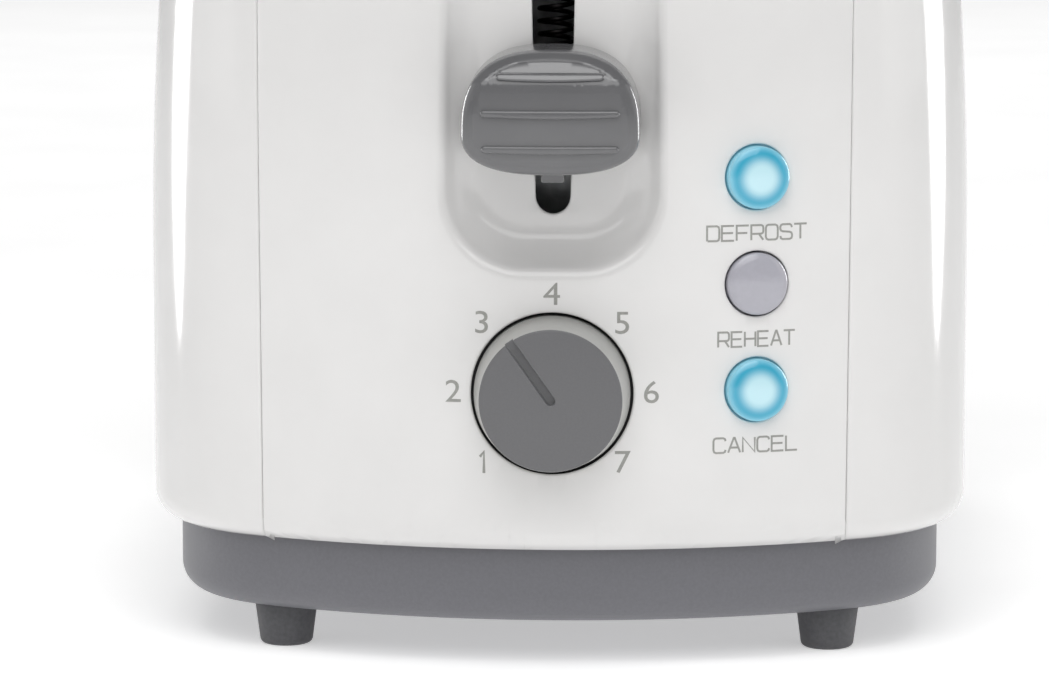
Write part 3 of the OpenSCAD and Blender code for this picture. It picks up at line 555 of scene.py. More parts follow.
def scoop_section(h, offset):
    """Share of the scoop's depth at a distance inside its outline."""
    both = h.scoop_d / (1 - math.cos(WALL_A))
    hollow = both - LIP_R
    if offset <= LIP_START:
        return 0.0
    if offset < LIP_START + LIP_R * math.sin(WALL_A):
        a = math.asin((offset - LIP_START) / LIP_R)
        return LIP_R * (1 - math.cos(a)) / h.scoop_d
    end = LIP_START + both * math.sin(WALL_A)
    if offset < end:
        a = math.asin(min(1.0, (end - offset) / hollow))
        return 1 - hollow * (1 - math.cos(a)) / h.scoop_d
    return 1.0


def scoop_scale(h, v):
    """The wall is steeper at the sides of the scoop than at its bottom."""
    t = min(1.0, max(0.0, (h.scoop_z + h.scoop_r - v) / h.scoop_r))
    return 0.78 + 0.22 * t * t * (3 - 2 * t)


def scoop_share(h, u, v):
    middle = h.scoop_w / 2 - h.scoop_r
    off = h.scoop_r - math.hypot(max(abs(u) - middle, 0.0),
                                 max(h.scoop_z + h.scoop_r - v, 0.0))
    return scoop_section(h, off / scoop_scale(h, v))


def wall_place(h, v):
    """Height and depth of the wall at a height of the flat layout, which unrolls its lower edge."""
    if v < h.edge_z:
        a = (h.edge_z - v) / h.edge_r
        return h.edge_z - h.edge_r * math.sin(a), h.edge_r * (1 - math.cos(a))
    return v, wall_in(h, v)


def skin_point(h, u, v, sink, scooped):
    """Carries a point of the flat layout onto the bowed, leaning end of the housing."""
    z, inward = wall_place(h, v)
    if scooped and z > h.scoop_z - 5:
        share = scoop_share(h, u, v)
        inward += share * max(0.0, h.scoop_d - inward)
    x, y = bow_point(h, u / h.bow_r, inward + sink)
    return Vector((x, y, z))


def fine(points, step):
    """Adds points so that none are further apart than a step."""
    made = [points[0]]
    for a, b in zip(points, points[1:]):
        parts = max(1, math.ceil(math.dist(a, b) / step))
        made += [(a[0] + (b[0] - a[0]) * i / parts, a[1] + (b[1] - a[1]) * i / parts)
                 for i in range(1, parts + 1)]
    return made


def inset(points, distance, closed=False):
    """Moves a path to its right-hand side, mitred at its corners."""
    made = []
    count = len(points)
    for i, p in enumerate(points):
        before = points[i - 1] if (i or closed) else None
        after = points[(i + 1) % count] if (i < count - 1 or closed) else None
        normals = []
        for a, b in ((before, p), (p, after)):
            if a is not None and b is not None:
                d = Vector((b[0] - a[0], b[1] - a[1])).normalized()
                normals.append(Vector((d.y, -d.x)))
        n = sum(normals, Vector((0, 0))) / len(normals)
        n = n / max(n.length_squared, 0.25)
        made.append((p[0] + n.x * distance, p[1] + n.y * distance))
    return made


def ring_points(u, v, r, count):
    return [(u + r * math.sin(a), v + r * math.cos(a))
            for a in spread(0.0, 2 * math.pi, count)[:-1]]


def slot_outline(h, grow):
    """Outline of the lever slot: round at both ends, wider at the top."""
    low, high = h.slot_w / 2, h.slot_top_w / 2
    centre = h.slot_z + low
    points = [(-(low + grow) * math.cos(a), centre - (low + grow) * math.sin(a))
              for a in spread(0.0, math.pi, 24)]
    points += [((high + grow) * math.cos(a), h.slot_top + (high + grow) * math.sin(a))
               for a in spread(0.0, math.pi, 24)]
    return points


def end_panel(h, holes, scooped):
    """Lays out an end panel flat with all its openings, then bends it onto the housing."""
    low = h.edge_z - h.edge_r * math.radians(70)
    half = h.scoop_w / 2
    corner_v = h.scoop_z + h.scoop_r
    tongue_u = half + h.wall
    tongue_v = 180.5
    edge = 0.3

    def seam_u(v):
        z, inward = wall_place(h, v)
        return h.bow_r * seam_angle(h, z, inward, -h.seam_gap / 2)

    right = [(seam_u(v), v) for v in spread(h.seam_z, low, 40)]
    left = [(-u, v) for u, v in reversed(right)]
    bm = bmesh.new()
    sink = bm.verts.layers.float.new("sink")

    def strips(rows, sinks, closed):
        """Joins flat rows by strips, notes their depth, and gives the last row's edges."""
        before = set(bm.verts)
        ends = loft(bm, [[(u, v, depth) for u, v in row] for row, depth in zip(rows, sinks)],
                    closed)
        for v in set(bm.verts) - before:
            v[sink] = v.co.z
            v.co.z = 0.0
        return ends[1]

    if scooped:
        path = [(tongue_u, tongue_v), (tongue_u, h.seam_z)] + right + left \
            + [(-tongue_u, h.seam_z), (-tongue_u, tongue_v)]
        path = fine(path, 4.0)
        rows = [inset(path, off) for off, _ in rounded(edge)]
        rows = [[(u, min(v, tongue_v)) for u, v in row] for row in rows]
        border = strips(rows, [s for _, s in rounded(edge)], False)
    else:
        path = fine(right + left + [right[0]], 4.0)[:-1]
        border = strips([inset(path, off, True) for off, _ in rounded(edge)],
                        [s for _, s in rounded(edge)], True)
    fills = [list(border)]
    if scooped:
        # Rows across the wall of the scoop, each an offset of its U-shaped outline.
        ways = [((half, v), (-1, 0)) for v in spread(tongue_v, corner_v, 26)]
        ways += [((half - h.scoop_r + h.scoop_r * math.cos(a), corner_v - h.scoop_r * math.sin(a)),
                  (-math.cos(a), math.sin(a))) for a in spread(0.0, math.pi / 2, 26)[1:]]
        ways += [((0.0, h.scoop_z), (0, 1))]
        ways += [((-p[0], p[1]), (-n[0], n[1])) for p, n in reversed(ways[:-1])]
        both = h.scoop_d / (1 - math.cos(WALL_A))
        offsets = [LIP_START + LIP_R * math.sin(a) for a in spread(0.0, WALL_A, 6)]
        offsets += [LIP_START + both * math.sin(WALL_A) - (both - LIP_R) * math.sin(a)
                    for a in spread(WALL_A, 0.0, 12)[1:]]
        rows = [[(p[0] + n[0] * off * scoop_scale(h, p[1]), p[1] + n[1] * off * scoop_scale(h, p[1]))
                 for p, n in ways] for off in offsets]
        before = set(bm.edges)
        inner = strips(rows, [0.0] * len(rows), False)
        made = [e for e in bm.edges if e not in before]
        outer = [e for e in made if len(e.link_faces) == 1 and e not in inner
                 and min(v.co.y for v in e.verts) < tongue_v - 1e-6]
        outer = [e for e in outer if not all(abs(v.co.y - tongue_v) < 1e-6 for v in e.verts)]
        top = [v for v in bm.verts if abs(v.co.y - tongue_v) < 1e-6]

        def top_at(edges):
            ends = {v for e in edges for v in e.verts} & set(top)
            return sorted(ends, key=lambda v: v.co.x)

        for a, b in zip(top_at(border), top_at(outer)):
            fills[0].append(bm.edges.new((a, b)))
        fills[0] += outer
        ends = top_at(inner)
        floor = list(inner) + [bm.edges.new((ends[0], ends[-1]))]
        slot_rows = [slot_outline(h, off) for off, _ in rounded(0.45)]
        floor += strips(slot_rows, [s for _, s in rounded(0.45)], True)
        fills.append(floor)
    for u, v, r, edge_r in holes:
        count = 96 if r > 10 else 64
        rows = [ring_points(u, v, r + off, count) for off, _ in rounded(edge_r)]
        fills[0] += strips(rows, [s for _, s in rounded(edge_r)], True)
    for edges in fills:
        bmesh.ops.triangle_fill(bm, edges=edges, use_beauty=True, use_dissolve=False)
    for k in range(-21, 22):
        cut(bm, (k * 3.0 + 0.11, 0, 0), (1, 0, 0))
    for k in range(int(low // 3), 61):
        cut(bm, (0, k * 3.0 + 0.13, 0), (0, 1, 0))
    weld(bm, 5e-4)
    for v in bm.verts:
        v.co = skin_point(h, v.co.x, v.co.y, v[sink], scooped)
    bmesh.ops.recalc_face_normals(bm, faces=bm.faces)
    face_out(bm, lambda b: sum(f.normal.y * f.calc_area() for f in b.faces) < 0)
    return bm


def front_panel(h):
    """The lever end: scoop, lever slot, dial opening and three button openings."""
    button_u = h.bow_r * math.asin(h.button_x / h.bow_r)
    holes = [(0.0, h.dial_z, h.dial_hole_r, 0.5)]
    holes += [(button_u, h.button_z + i * h.button_pitch, h.button_hole_r, 0.35)
              for i in range(3)]
    piece = to_object(end_panel(h, holes, True), "front_panel_skin", FINISHES["white"],
                      "housing", ("front_panel",), sharp=50)
    thicken(piece, 2.2)


def rear_panel(h):
    """The plain end, with the opening for the gland."""
    bm = end_panel(h, [(0.0, 45.0, 6.05, 0.3)], False)
    bmesh.ops.scale(bm, vec=(1, -1, 1), verts=bm.verts)
    bmesh.ops.reverse_faces(bm, faces=bm.faces)
    piece = to_object(bm, "rear_panel_skin", FINISHES["white"], "housing", ("rear_panel",),
                      sharp=50)
    thicken(piece, h.wall)


def lid(h):
    """The lid: the whole shoulder and the level top, with two slots and the scoop's notch."""
    rim = h.lean_a + math.asin(h.lid_gap / h.shoulder_r)
    rows = []
    for off, sink in rounded(0.5):
        a = rim + off / h.shoulder_r
        rows.append((a, sink))
    rows += [(a, 0.0) for a in spread(rows[-1][0], math.pi / 2, 16)[1:]]
    loops = []
    for a, sink in rows:
        r = h.shoulder_r - sink
        loops.append([(x, y, h.shoulder_z + r * math.sin(a))
                      for x, y in outline_loop(h, h.shoulder_in - r * math.cos(a))])
    # A narrow flat band keeps the level top free of the shoulder's shading.
    loops.append([(x, y, h.top_z) for x, y in outline_loop(h, h.shoulder_in + 0.6)])
    bm = bmesh.new()
    _, top = loft(bm, loops, True)
    fill = list(top)
    for node_name in ("slot_liner_left", "slot_liner_right"):
        low, high = box_mm(node_name)
        x0, x1 = low.x + 2.0, high.x - 2.0
        y0, y1 = low.y + 2.0 - MID_Y, high.y - 2.0 - MID_Y
        path = fine([(x0, y0), (x0, y1), (x1, y1), (x1, y0), (x0, y0)], 8.0)[:-1]
        fill += chain(bm, [(x, y, h.top_z) for x, y in path], True)[1]
    bmesh.ops.triangle_fill(bm, edges=fill, use_beauty=True, use_dissolve=False)
    notch_x = h.scoop_w / 2 + h.wall + 0.12
    notch_z = 181.2
    for place, normal in (((notch_x, 0, 0), (1, 0, 0)), ((-notch_x, 0, 0), (1, 0, 0)),
                          ((0, 0, notch_z), (0, 0, 1))):
        cut(bm, place, normal)
    gone = [f for f in bm.faces if abs(f.calc_center_median().x) < notch_x
            and f.calc_center_median().y < 0 and f.calc_center_median().z < notch_z]
    bmesh.ops.delete(bm, geom=gone, context="FACES")
    bmesh.ops.recalc_face_normals(bm, faces=bm.faces)
    face_out(bm, lambda b: sum(f.normal.z * f.calc_area() for f in b.faces) > 0)
    piece = to_object(bm, "lid_skin", FINISHES["white"], "housing", ("top_cover",))
    thicken(piece, h.wall)


def base(h):
    """The base: a rounded tub with vents, open at the back for the crumb tray."""
    rows = [(h.base_in + h.base_r * (1 - math.cos(a)), h.base_z + h.base_r * (1 + math.sin(a)))
            for a in spread(-math.pi / 2, 0.0, 12)]
    rows += [(h.base_in, z) for z in spread(rows[-1][1], h.base_top, 3)[1:]]
    bm = bmesh.new()
    first, _ = loft(bm, [[(x, y, z) for x, y in outline_loop(h, d)] for d, z in rows], True)
    fill = list(first)
    for i in range(-4, 5):
        ring = [(i * 10 + 1.5 * math.cos(a), (43.5 if math.sin(a) > 0 else -43.5)
                 + 1.5 * math.sin(a)) for a in spread(0.01, 2 * math.pi + 0.01, 24)[:-1]]
        fill += chain(bm, [(x, y, h.base_z) for x, y in ring], True)[1]
    bmesh.ops.triangle_fill(bm, edges=fill, use_beauty=True, use_dissolve=False)
    low, high = box_mm("crumb_tray")
    floor_z = h.base_z + h.base_t
    for place, normal in (((54.6, 0, 0), (1, 0, 0)), ((-54.6, 0, 0), (1, 0, 0)),
                          ((0, 0, floor_z), (0, 0, 1)), ((0, 0, floor_z + 8.6), (0, 0, 1))):
        cut(bm, place, normal)
    gone = [f for f in bm.faces if abs(f.calc_center_median().x) < 54.6
            and f.calc_center_median().y > 0
            and floor_z < f.calc_center_median().z < floor_z + 8.6]
    bmesh.ops.delete(bm, geom=gone, context="FACES")
    bmesh.ops.recalc_face_normals(bm, faces=bm.faces)
    face_out(bm, lambda b: max(b.faces, key=lambda f: f.calc_center_median().x).normal.x > 0)
    piece = to_object(bm, "base_tub", FINISHES["base"], "housing", ("base_tray",))
    thicken(piece, h.base_t)


def feet(h):
    """Four tapered rubber feet with a counterbore each."""
    bm = bmesh.new()
    bottom, edge = h.foot_r - 1.0, 1.2
    profile = [(3.4, 1.2), (3.4, 0.3), (3.7, 0.0), (bottom - edge, 0.0)]
    profile += [(bottom - edge + edge * math.cos(a), edge + edge * math.sin(a))
                for a in spread(-math.pi / 2, 0.0, 6)[1:]]
    profile += [(h.foot_r, h.base_z - 0.4), (h.foot_r - 0.1, h.base_z), (3.4, h.base_z),
                (3.4, 4.6), (1.6, 4.6), (1.6, 4.4), (3.4, 4.4), (3.4, 1.2)]
    for sx in (-1, 1):
        for sy in (-1, 1):
            one = turned(profile, 64)
            mesh = bpy.data.meshes.new("foot")
            one.transform(Matrix.Translation((sx * h.foot_x, sy * h.foot_y, 0)))
            one.to_mesh(mesh)
            one.free()
            bm.from_mesh(mesh)
            bpy.data.meshes.remove(mesh)
    to_object(bm, "feet_rubber", FINISHES["rubber"], "housing", ("feet",))


# ---------------------------------------------------------------- lever, dial and buttons

KNOB_N = 2.6
CREASE = 10.6
SLOPE = math.radians(33)


def knob_outline(h, grow, count=120):
    """Outline of the lever knob about its widest line."""
    made = []
    for a in spread(0.0, -2 * math.pi, count)[:-1]:
        c, s = math.cos(a), math.sin(a)
        tall = (h.knob_up if s > 0 else h.knob_down) + grow
        made.append(((h.knob_hw + grow) * math.copysign(abs(c) ** (2 / KNOB_N), c),
                     tall * math.copysign(abs(s) ** (2 / KNOB_N), s)))
    return made


def knob_face(x, z):
    """How far the knob's face lies behind its foremost point: crowned, and sloped at the top."""
    crown = 0.9 * (x / 18.0) ** 2 + 0.35 * ((z - 1.0) / 10.0) ** 2
    bend = 0.7
    over = z - CREASE
    if over <= -bend:
        return crown
    if over < bend:
        return crown + math.tan(SLOPE) * (over + bend) ** 2 / (4 * bend)
    return crown + math.tan(SLOPE) * over


def filled(bm, edges, step, low, high):
    """Fills flat loops with faces and cuts them into a grid fine enough to bend."""
    bmesh.ops.triangle_fill(bm, edges=edges, use_beauty=True, use_dissolve=False)
    for axis in (0, 2):
        for k in range(math.floor(low[axis] / step), math.ceil(high[axis] / step)):
            place = [0.0, 0.0, 0.0]
            normal = [0.0, 0.0, 0.0]
            place[axis] = (k + 0.513) * step
            normal[axis] = 1.0
            cut(bm, place, normal)


def raised(h, rows, back, reach):
    """A moulded body whose front follows the knob's face: rows of (outline, depth behind it)."""
    bm = bmesh.new()
    depth = bm.verts.layers.float.new("depth")
    before = set(bm.verts)
    _, last = loft(bm, [[(x, d, z) for x, z in outline] for outline, d in rows], True)
    for v in set(bm.verts) - before:
        v[depth] = v.co.y
        v.co.y = 0.0
    filled(bm, last, 1.5, (-reach, 0, -reach), (reach, 0, reach))
    for v in bm.verts:
        v.co.y = knob_face(v.co.x, v.co.z) + v[depth] if v[depth] < back else back
    rim = [e for e in bm.edges if e.is_boundary]
    bmesh.ops.holes_fill(bm, edges=rim, sides=0)
    bmesh.ops.recalc_face_normals(bm, faces=bm.faces)
    return bm


def append(target, source):
    """Moves one mesh's geometry into another."""
    mesh = bpy.data.meshes.new("part")
    source.to_mesh(mesh)
    source.free()
    target.from_mesh(mesh)
    bpy.data.meshes.remove(mesh)


def lever_knob(h):
    """The lever knob: crowned face with a rounded rim, a sloping top and three ribs; its stem."""
    low, high = KNOB_BOX
    zero_z = high.z - h.knob_up
    zero_y = low.y - MID_Y
    back = 19.9
    rim = 1.9
    rows = [(knob_outline(h, 0.0), back + 1)]
    rows += [(knob_outline(h, -rim * (1 - math.cos(a))), 0.35 + rim * 0.85 * (1 - math.sin(a)))
             for a in spread(0.0, math.radians(64), 6)]
    rows += [(knob_outline(h, -1.75), 0.14), (knob_outline(h, -1.95), 0.16),
             (knob_outline(h, -2.3), 0.0)]
    bm = raised(h, rows, back, 19)
    for centre, half in ((-3.2, 14.1), (4.1, 14.3), (11.7, 11.1)):
        outline = [(x, centre + 0.75) for x in spread(-half + 0.7, half - 0.7, 24)]
        outline += [(half - 0.7 + 0.7 * math.sin(a), centre + 0.05 + 0.7 * math.cos(a))
                    for a in spread(0.0, math.pi, 8)[1:-1]]
        outline += [(x, centre - 0.65 - 0.35 * (1 - (x / half) ** 2))
                    for x in spread(half - 0.7, -half + 0.7, 24)]
        outline += [(-half + 0.7 - 0.7 * math.sin(a), centre + 0.05 - 0.7 * math.cos(a))
                    for a in spread(0.0, math.pi, 8)[1:-1]]
        rib_rows = [(outline, 0.9)]
        rib_rows += [(inset(outline, 0.5 * (1 - math.cos(a)), True), -0.15 - 0.6 * math.sin(a))
                     for a in spread(0.0, math.pi / 2, 5)]
        append(bm, raised(h, rib_rows, 3.0, 19))
    stem = bmesh.new()
    bmesh.ops.create_cube(stem, size=1.0)
    stem_low, stem_high = 103.0 - zero_z, 111.5 - zero_z
    bmesh.ops.scale(stem, vec=(4.8, 12.0, stem_high - stem_low), verts=stem.verts)
    bmesh.ops.translate(stem, vec=(0, back + 5.0, (stem_low + stem_high) / 2), verts=stem.verts)
    bmesh.ops.bevel(stem, geom=stem.edges[:], offset=0.4, offset_type="OFFSET", segments=2,
                    profile=0.5, affect="EDGES", material=-1)
    append(bm, stem)
    bm.transform(Matrix.Translation((0, zero_y, zero_z)))
    to_object(bm, "lever_knob_shaped", FINISHES["knob"], "carriage", ("lever_knob",),
              sharp=40)


def dial_knob(h):
    """The dial: a slightly tapered knob with a pointer groove from its middle to its rim."""
    low, high = DIAL_BOX
    deep = high.y - low.y
    front_r = h.dial_r - 1.4
    edge = 0.45
    profile = [(0.0, 0.0), (h.dial_r - 0.4, 0.0), (h.dial_r, 0.4), (h.dial_r, 3.4)]
    profile += [(front_r - edge + edge * math.cos(a), deep - edge + edge * math.sin(a))
                for a in spread(0.0, math.pi / 2, 6)]
    bm = turned(profile, 144)
    rim = [e for e in bm.edges if e.is_boundary]
    bmesh.ops.holes_fill(bm, edges=rim, sides=0)
    bmesh.ops.recalc_face_normals(bm, faces=bm.faces)
    groove = bmesh.new()
    half = 0.95
    count = 24
    outline = [(-half * math.sin(a), half * math.cos(a)) for a in spread(0.0, math.pi, count)]
    outline += [(h.dial_r + 6, -half), (h.dial_r + 6, half)]
    loft(groove, [[(x, y, z) for x, y in outline] for z in (deep - 1.3, deep + 3)], True)
    bmesh.ops.holes_fill(groove, edges=[e for e in groove.edges if e.is_boundary], sides=0)
    bmesh.ops.recalc_face_normals(groove, faces=groove.faces)
    groove.transform(Matrix.Rotation(math.radians(125.2), 4, "Z"))
    parts = []
    for name, source in (("dial_knob_turned", bm), ("groove_cutter", groove)):
        place_in_front(source, 0.0, high.y - MID_Y, h.dial_z)
        source.transform(Matrix.Translation((0, MID_Y / MM, 0)) @ Matrix.Scale(1 / MM, 4))
        mesh = bpy.data.meshes.new(name)
        source.to_mesh(mesh)
        source.free()
        part = bpy.data.objects.new(name, mesh)
        bpy.context.scene.collection.objects.link(part)
        parts.append(part)
    piece, cutter = parts
    groove_cut = piece.modifiers.new("Groove", "BOOLEAN")
    groove_cut.object = cutter
    groove_cut.solver = "EXACT"
    evaluated = piece.evaluated_get(bpy.context.evaluated_depsgraph_get())
    solid = bpy.data.meshes.new_from_object(evaluated)
    piece.modifiers.clear()
    piece.data = solid
    bpy.data.objects.remove(cutter)
    solid.materials.clear()
    solid.materials.append(FINISHES["dial"])
    # The sloping side faces get the paler finish: a painted highlight for the light that side
    # catches.
    solid.materials.append(FINISHES["dial_side_painted_highlight"])
    for face in solid.polygons:
        out = math.hypot(face.center.x, face.center.z - h.dial_z / MM) * MM
        if abs(face.normal.y) < 0.5 and out > front_r - 0.4:
            face.material_index = 1
    soft = piece.modifiers.new("Edge", "BEVEL")
    soft.width = 0.22 / MM
    soft.segments = 2
    soft.limit_method = "ANGLE"
    soft.angle_limit = math.radians(50)
    solid.shade_smooth()
    solid.set_sharp_from_angle(angle=math.radians(30))
    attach(piece, "dial")
    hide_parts("dial_knob")


BUTTONS = (("button_defrost", "defrost", 2, 1.9, "lit"), ("button_reheat", "reheat", 1, 1.0, "unlit"),
           ("button_cancel", "cancel", 0, 1.9, "lit"))


def push_buttons(h):
    """Three domed caps, two of them lit."""
    angle = math.asin(h.button_x / h.bow_r)
    r, dome = h.button_r, 1.1
    dome_r = (r * r + dome * dome) / (2 * dome)
    for name, body, place, proud, kind in BUTTONS:
        z = h.button_z + place * h.button_pitch
        profile = [(0.0, -5.1), (2.0, -5.1), (2.0, -4.1), (r + 1.1, -4.1), (r + 1.1, -3.2),
                   (r, -3.2), (r, proud - 0.45), (r - 0.12, proud - 0.16), (r - 0.45, proud + 0.02)]
        start = math.asin((r - 0.45) / dome_r)
        top = proud - 0.02 + dome
        profile += [(dome_r * math.sin(a), top - dome_r * (1 - math.cos(a)))
                    for a in spread(start, 0.0, 12)[1:]]
        bm = turned(profile, 80)
        turn = Matrix.Translation((0, h.bow_cy, z)) @ Matrix.Rotation(angle, 4, "Z") \
            @ Matrix.Translation((0, -h.bow_r, 0)) @ Matrix.Rotation(math.pi / 2, 4, "X")
        bm.transform(turn)
        centre = turn @ Vector((0, 0, proud + 0.4))
        centre.y += MID_Y
        if kind == "lit":
            # Clear polycarbonate over a blue lamp: whitish middle, deep cyan ring, pale edge.
            cap = lit_finish("polycarbonate_lit_" + body, [c / MM for c in centre], 7.2 / MM,
                             "8FD0E4", "3FA4C2", "BFE3EC", 0.12)
        else:
            cap = FINISHES["unlit"]
        to_object(bm, name + "_cap", cap, body, (name,),
                  sharp=50)


# Wide squared capitals and a flagged 1, drawn as lines on a unit square.
STROKES = {
    "1": (((0.06, 0.76), (0.34, 1.0), (0.34, 0.0)),),
    "A": (((0.0, 0.0), (0.46, 1.0), (0.54, 1.0), (1.0, 0.0)), ((0.17, 0.34), (0.83, 0.34))),
    "C": (((1, 0.8), (0.94, 0.94), (0.8, 1), (0.2, 1), (0.06, 0.94), (0, 0.8), (0, 0.2),
           (0.06, 0.06), (0.2, 0), (0.8, 0), (0.94, 0.06), (1, 0.2)),),
    "D": (((0, 0), (0, 1), (0.8, 1), (0.94, 0.94), (1, 0.8), (1, 0.2), (0.94, 0.06), (0.8, 0),
           (0.05, 0)),),
    "E": (((1, 1), (0, 1), (0, 0), (1, 0)), ((0.05, 0.52), (0.92, 0.52))),
    "F": (((1, 1), (0, 1), (0, 0)), ((0.05, 0.5), (0.88, 0.5))),
    "H": (((0, 0), (0, 1)), ((1, 0), (1, 1)), ((0.05, 0.52), (0.95, 0.52))),
    "L": (((0, 1), (0, 0), (0.95, 0)),),
    "N": (((0, 0), (0, 1), (1, 0), (1, 1)),),
    "O": (((0.5, 0), (0.2, 0), (0.06, 0.06), (0, 0.2), (0, 0.8), (0.06, 0.94), (0.2, 1), (0.8, 1),
           (0.94, 0.94), (1, 0.8), (1, 0.2), (0.94, 0.06), (0.8, 0), (0.5, 0)),),
    "R": (((0, 0), (0, 1), (0.84, 1), (0.96, 0.94), (1, 0.84), (1, 0.58), (0.96, 0.48),
           (0.84, 0.42), (0.05, 0.42)), ((0.66, 0.38), (1, 0))),
    "S": (((0.98, 0.78), (0.93, 0.93), (0.8, 1), (0.2, 1), (0.05, 0.94), (0, 0.82), (0, 0.7),
           (0.06, 0.58), (0.2, 0.53), (0.8, 0.48), (0.94, 0.43), (1, 0.3), (1, 0.18),
           (0.95, 0.06), (0.8, 0), (0.2, 0), (0.06, 0.06), (0.01, 0.22)),),
    "T": (((-0.04, 1), (1.04, 1)), ((0.5, 0.95), (0.5, 0))),
}


def lettering(bm, text, u, v, tall, letter_w, gap, line):
    """Draws a word with lines of one width, centred on (u, v)."""
    left = u - (len(text) * (letter_w + gap) - gap) / 2
    for i, letter in enumerate(text):
        x0 = left + i * (letter_w + gap)
        for stroke in STROKES[letter]:
            path = [(x0 + x * letter_w, v + (y - 0.5) * tall) for x, y in stroke]
            loft(bm, [[(x, y, 0.0) for x, y in inset(path, side * line / 2)] for side in (1, -1)])


def printed(h, words, labels):
    """Thin printed figures and words that lie on the bowed panel.

    words: (text, u, v, height, widening) in the built-in face.
    labels: (text, u, v, height, letter width, gap, line width) drawn by strokes.
    """
    bm = bmesh.new()
    for label in labels:
        lettering(bm, *label)
    for text, u, v, tall, wide in words:
        letters = bpy.data.curves.new("letters", "FONT")
        letters.body = text
        letters.align_x = "CENTER"
        letters.align_y = "CENTER"
        letters.size = tall * 1.37
        letters.resolution_u = 4
        holder = bpy.data.objects.new("letters", letters)
        bpy.context.scene.collection.objects.link(holder)
        bpy.context.view_layer.update()
        mesh = bpy.data.meshes.new_from_object(
            holder.evaluated_get(bpy.context.evaluated_depsgraph_get()))
        bpy.data.objects.remove(holder)
        one = bmesh.new()
        one.from_mesh(mesh)
        bpy.data.meshes.remove(mesh)
        bmesh.ops.triangulate(one, faces=one.faces)
        for vert in one.verts:
            vert.co = Vector((u + vert.co.x * wide, v + vert.co.y, 0.0))
        append(bm, one)
    for k in range(-20, 21):
        cut(bm, (k * 3.0 + 0.07, 0, 0), (1, 0, 0))
    for v in bm.verts:
        v.co = skin_point(h, v.co.x, v.co.y, -0.03, False)
    bmesh.ops.recalc_face_normals(bm, faces=bm.faces)
    face_out(bm, lambda b: sum(f.normal.y * f.calc_area() for f in b.faces) < 0)
    for f in bm.faces:
        if f.normal.y > 0:
            f.normal_flip()
    piece = to_object(bm, "printed_figures", FINISHES["ink"], "housing", smooth=False)
    thicken(piece, 0.025)


def printing(h):
    """Figures 1 to 7 round the dial and the plain words under the buttons."""
    words, labels = [], []
    for i in range(7):
        a = math.radians(225 - 45 * i)
        u, v = 20.7 * math.cos(a), h.dial_z + 20.7 * math.sin(a)
        if i:
            words.append((str(i + 1), u, v, 4.9, 1.12))
        else:
            labels.append(("1", u + 0.9, v, 4.5, 3.0, 0.0, 0.62))
    button_u = h.bow_r * math.asin(h.button_x / h.bow_r)
    for i, (word, letter_w) in enumerate((("CANCEL", 2.6), ("REHEAT", 2.3), ("DEFROST", 2.6))):
        labels.append((word, button_u, h.button_z + i * h.button_pitch - 11.6, 3.1, letter_w,
                       0.56, 0.42))
    printed(h, words, labels)


def spring():
    """The return spring: a coil that closes up as the carriage rises."""
    low, high = box_mm("return_spring")
    centre = (low + high) / 2
    wire, coil = 0.55, 3.55
    turns, per_turn = 20, 18
    bm = bmesh.new()
    ring = bmesh.ops.create_circle(bm, cap_ends=False, radius=wire, segments=8)["verts"]
    bmesh.ops.rotate(bm, verts=ring, cent=(0, 0, 0), matrix=Matrix.Rotation(math.pi / 2, 3, "X"))
    bmesh.ops.translate(bm, verts=ring, vec=(coil, 0, low.z + wire))
    rise = (high.z - low.z - 2 * wire) / (turns * per_turn)
    geom = ring + list({e for v in ring for e in v.link_edges})
    bmesh.ops.spin(bm, geom=geom, cent=(0, 0, 0), axis=(0, 0, 1), dvec=(0, 0, rise),
                   angle=2 * math.pi * turns, steps=turns * per_turn)
    bmesh.ops.holes_fill(bm, edges=[e for e in bm.edges if e.is_boundary], sides=0)
    bmesh.ops.recalc_face_normals(bm, faces=bm.faces)
    bmesh.ops.translate(bm, verts=bm.verts, vec=(centre.x, centre.y - MID_Y, 0))
    piece = to_object(bm, "return_spring_coil", FINISHES["spring"], "housing",
                      ("return_spring",))
    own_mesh(piece)


# ---------------------------------------------------------------- stage

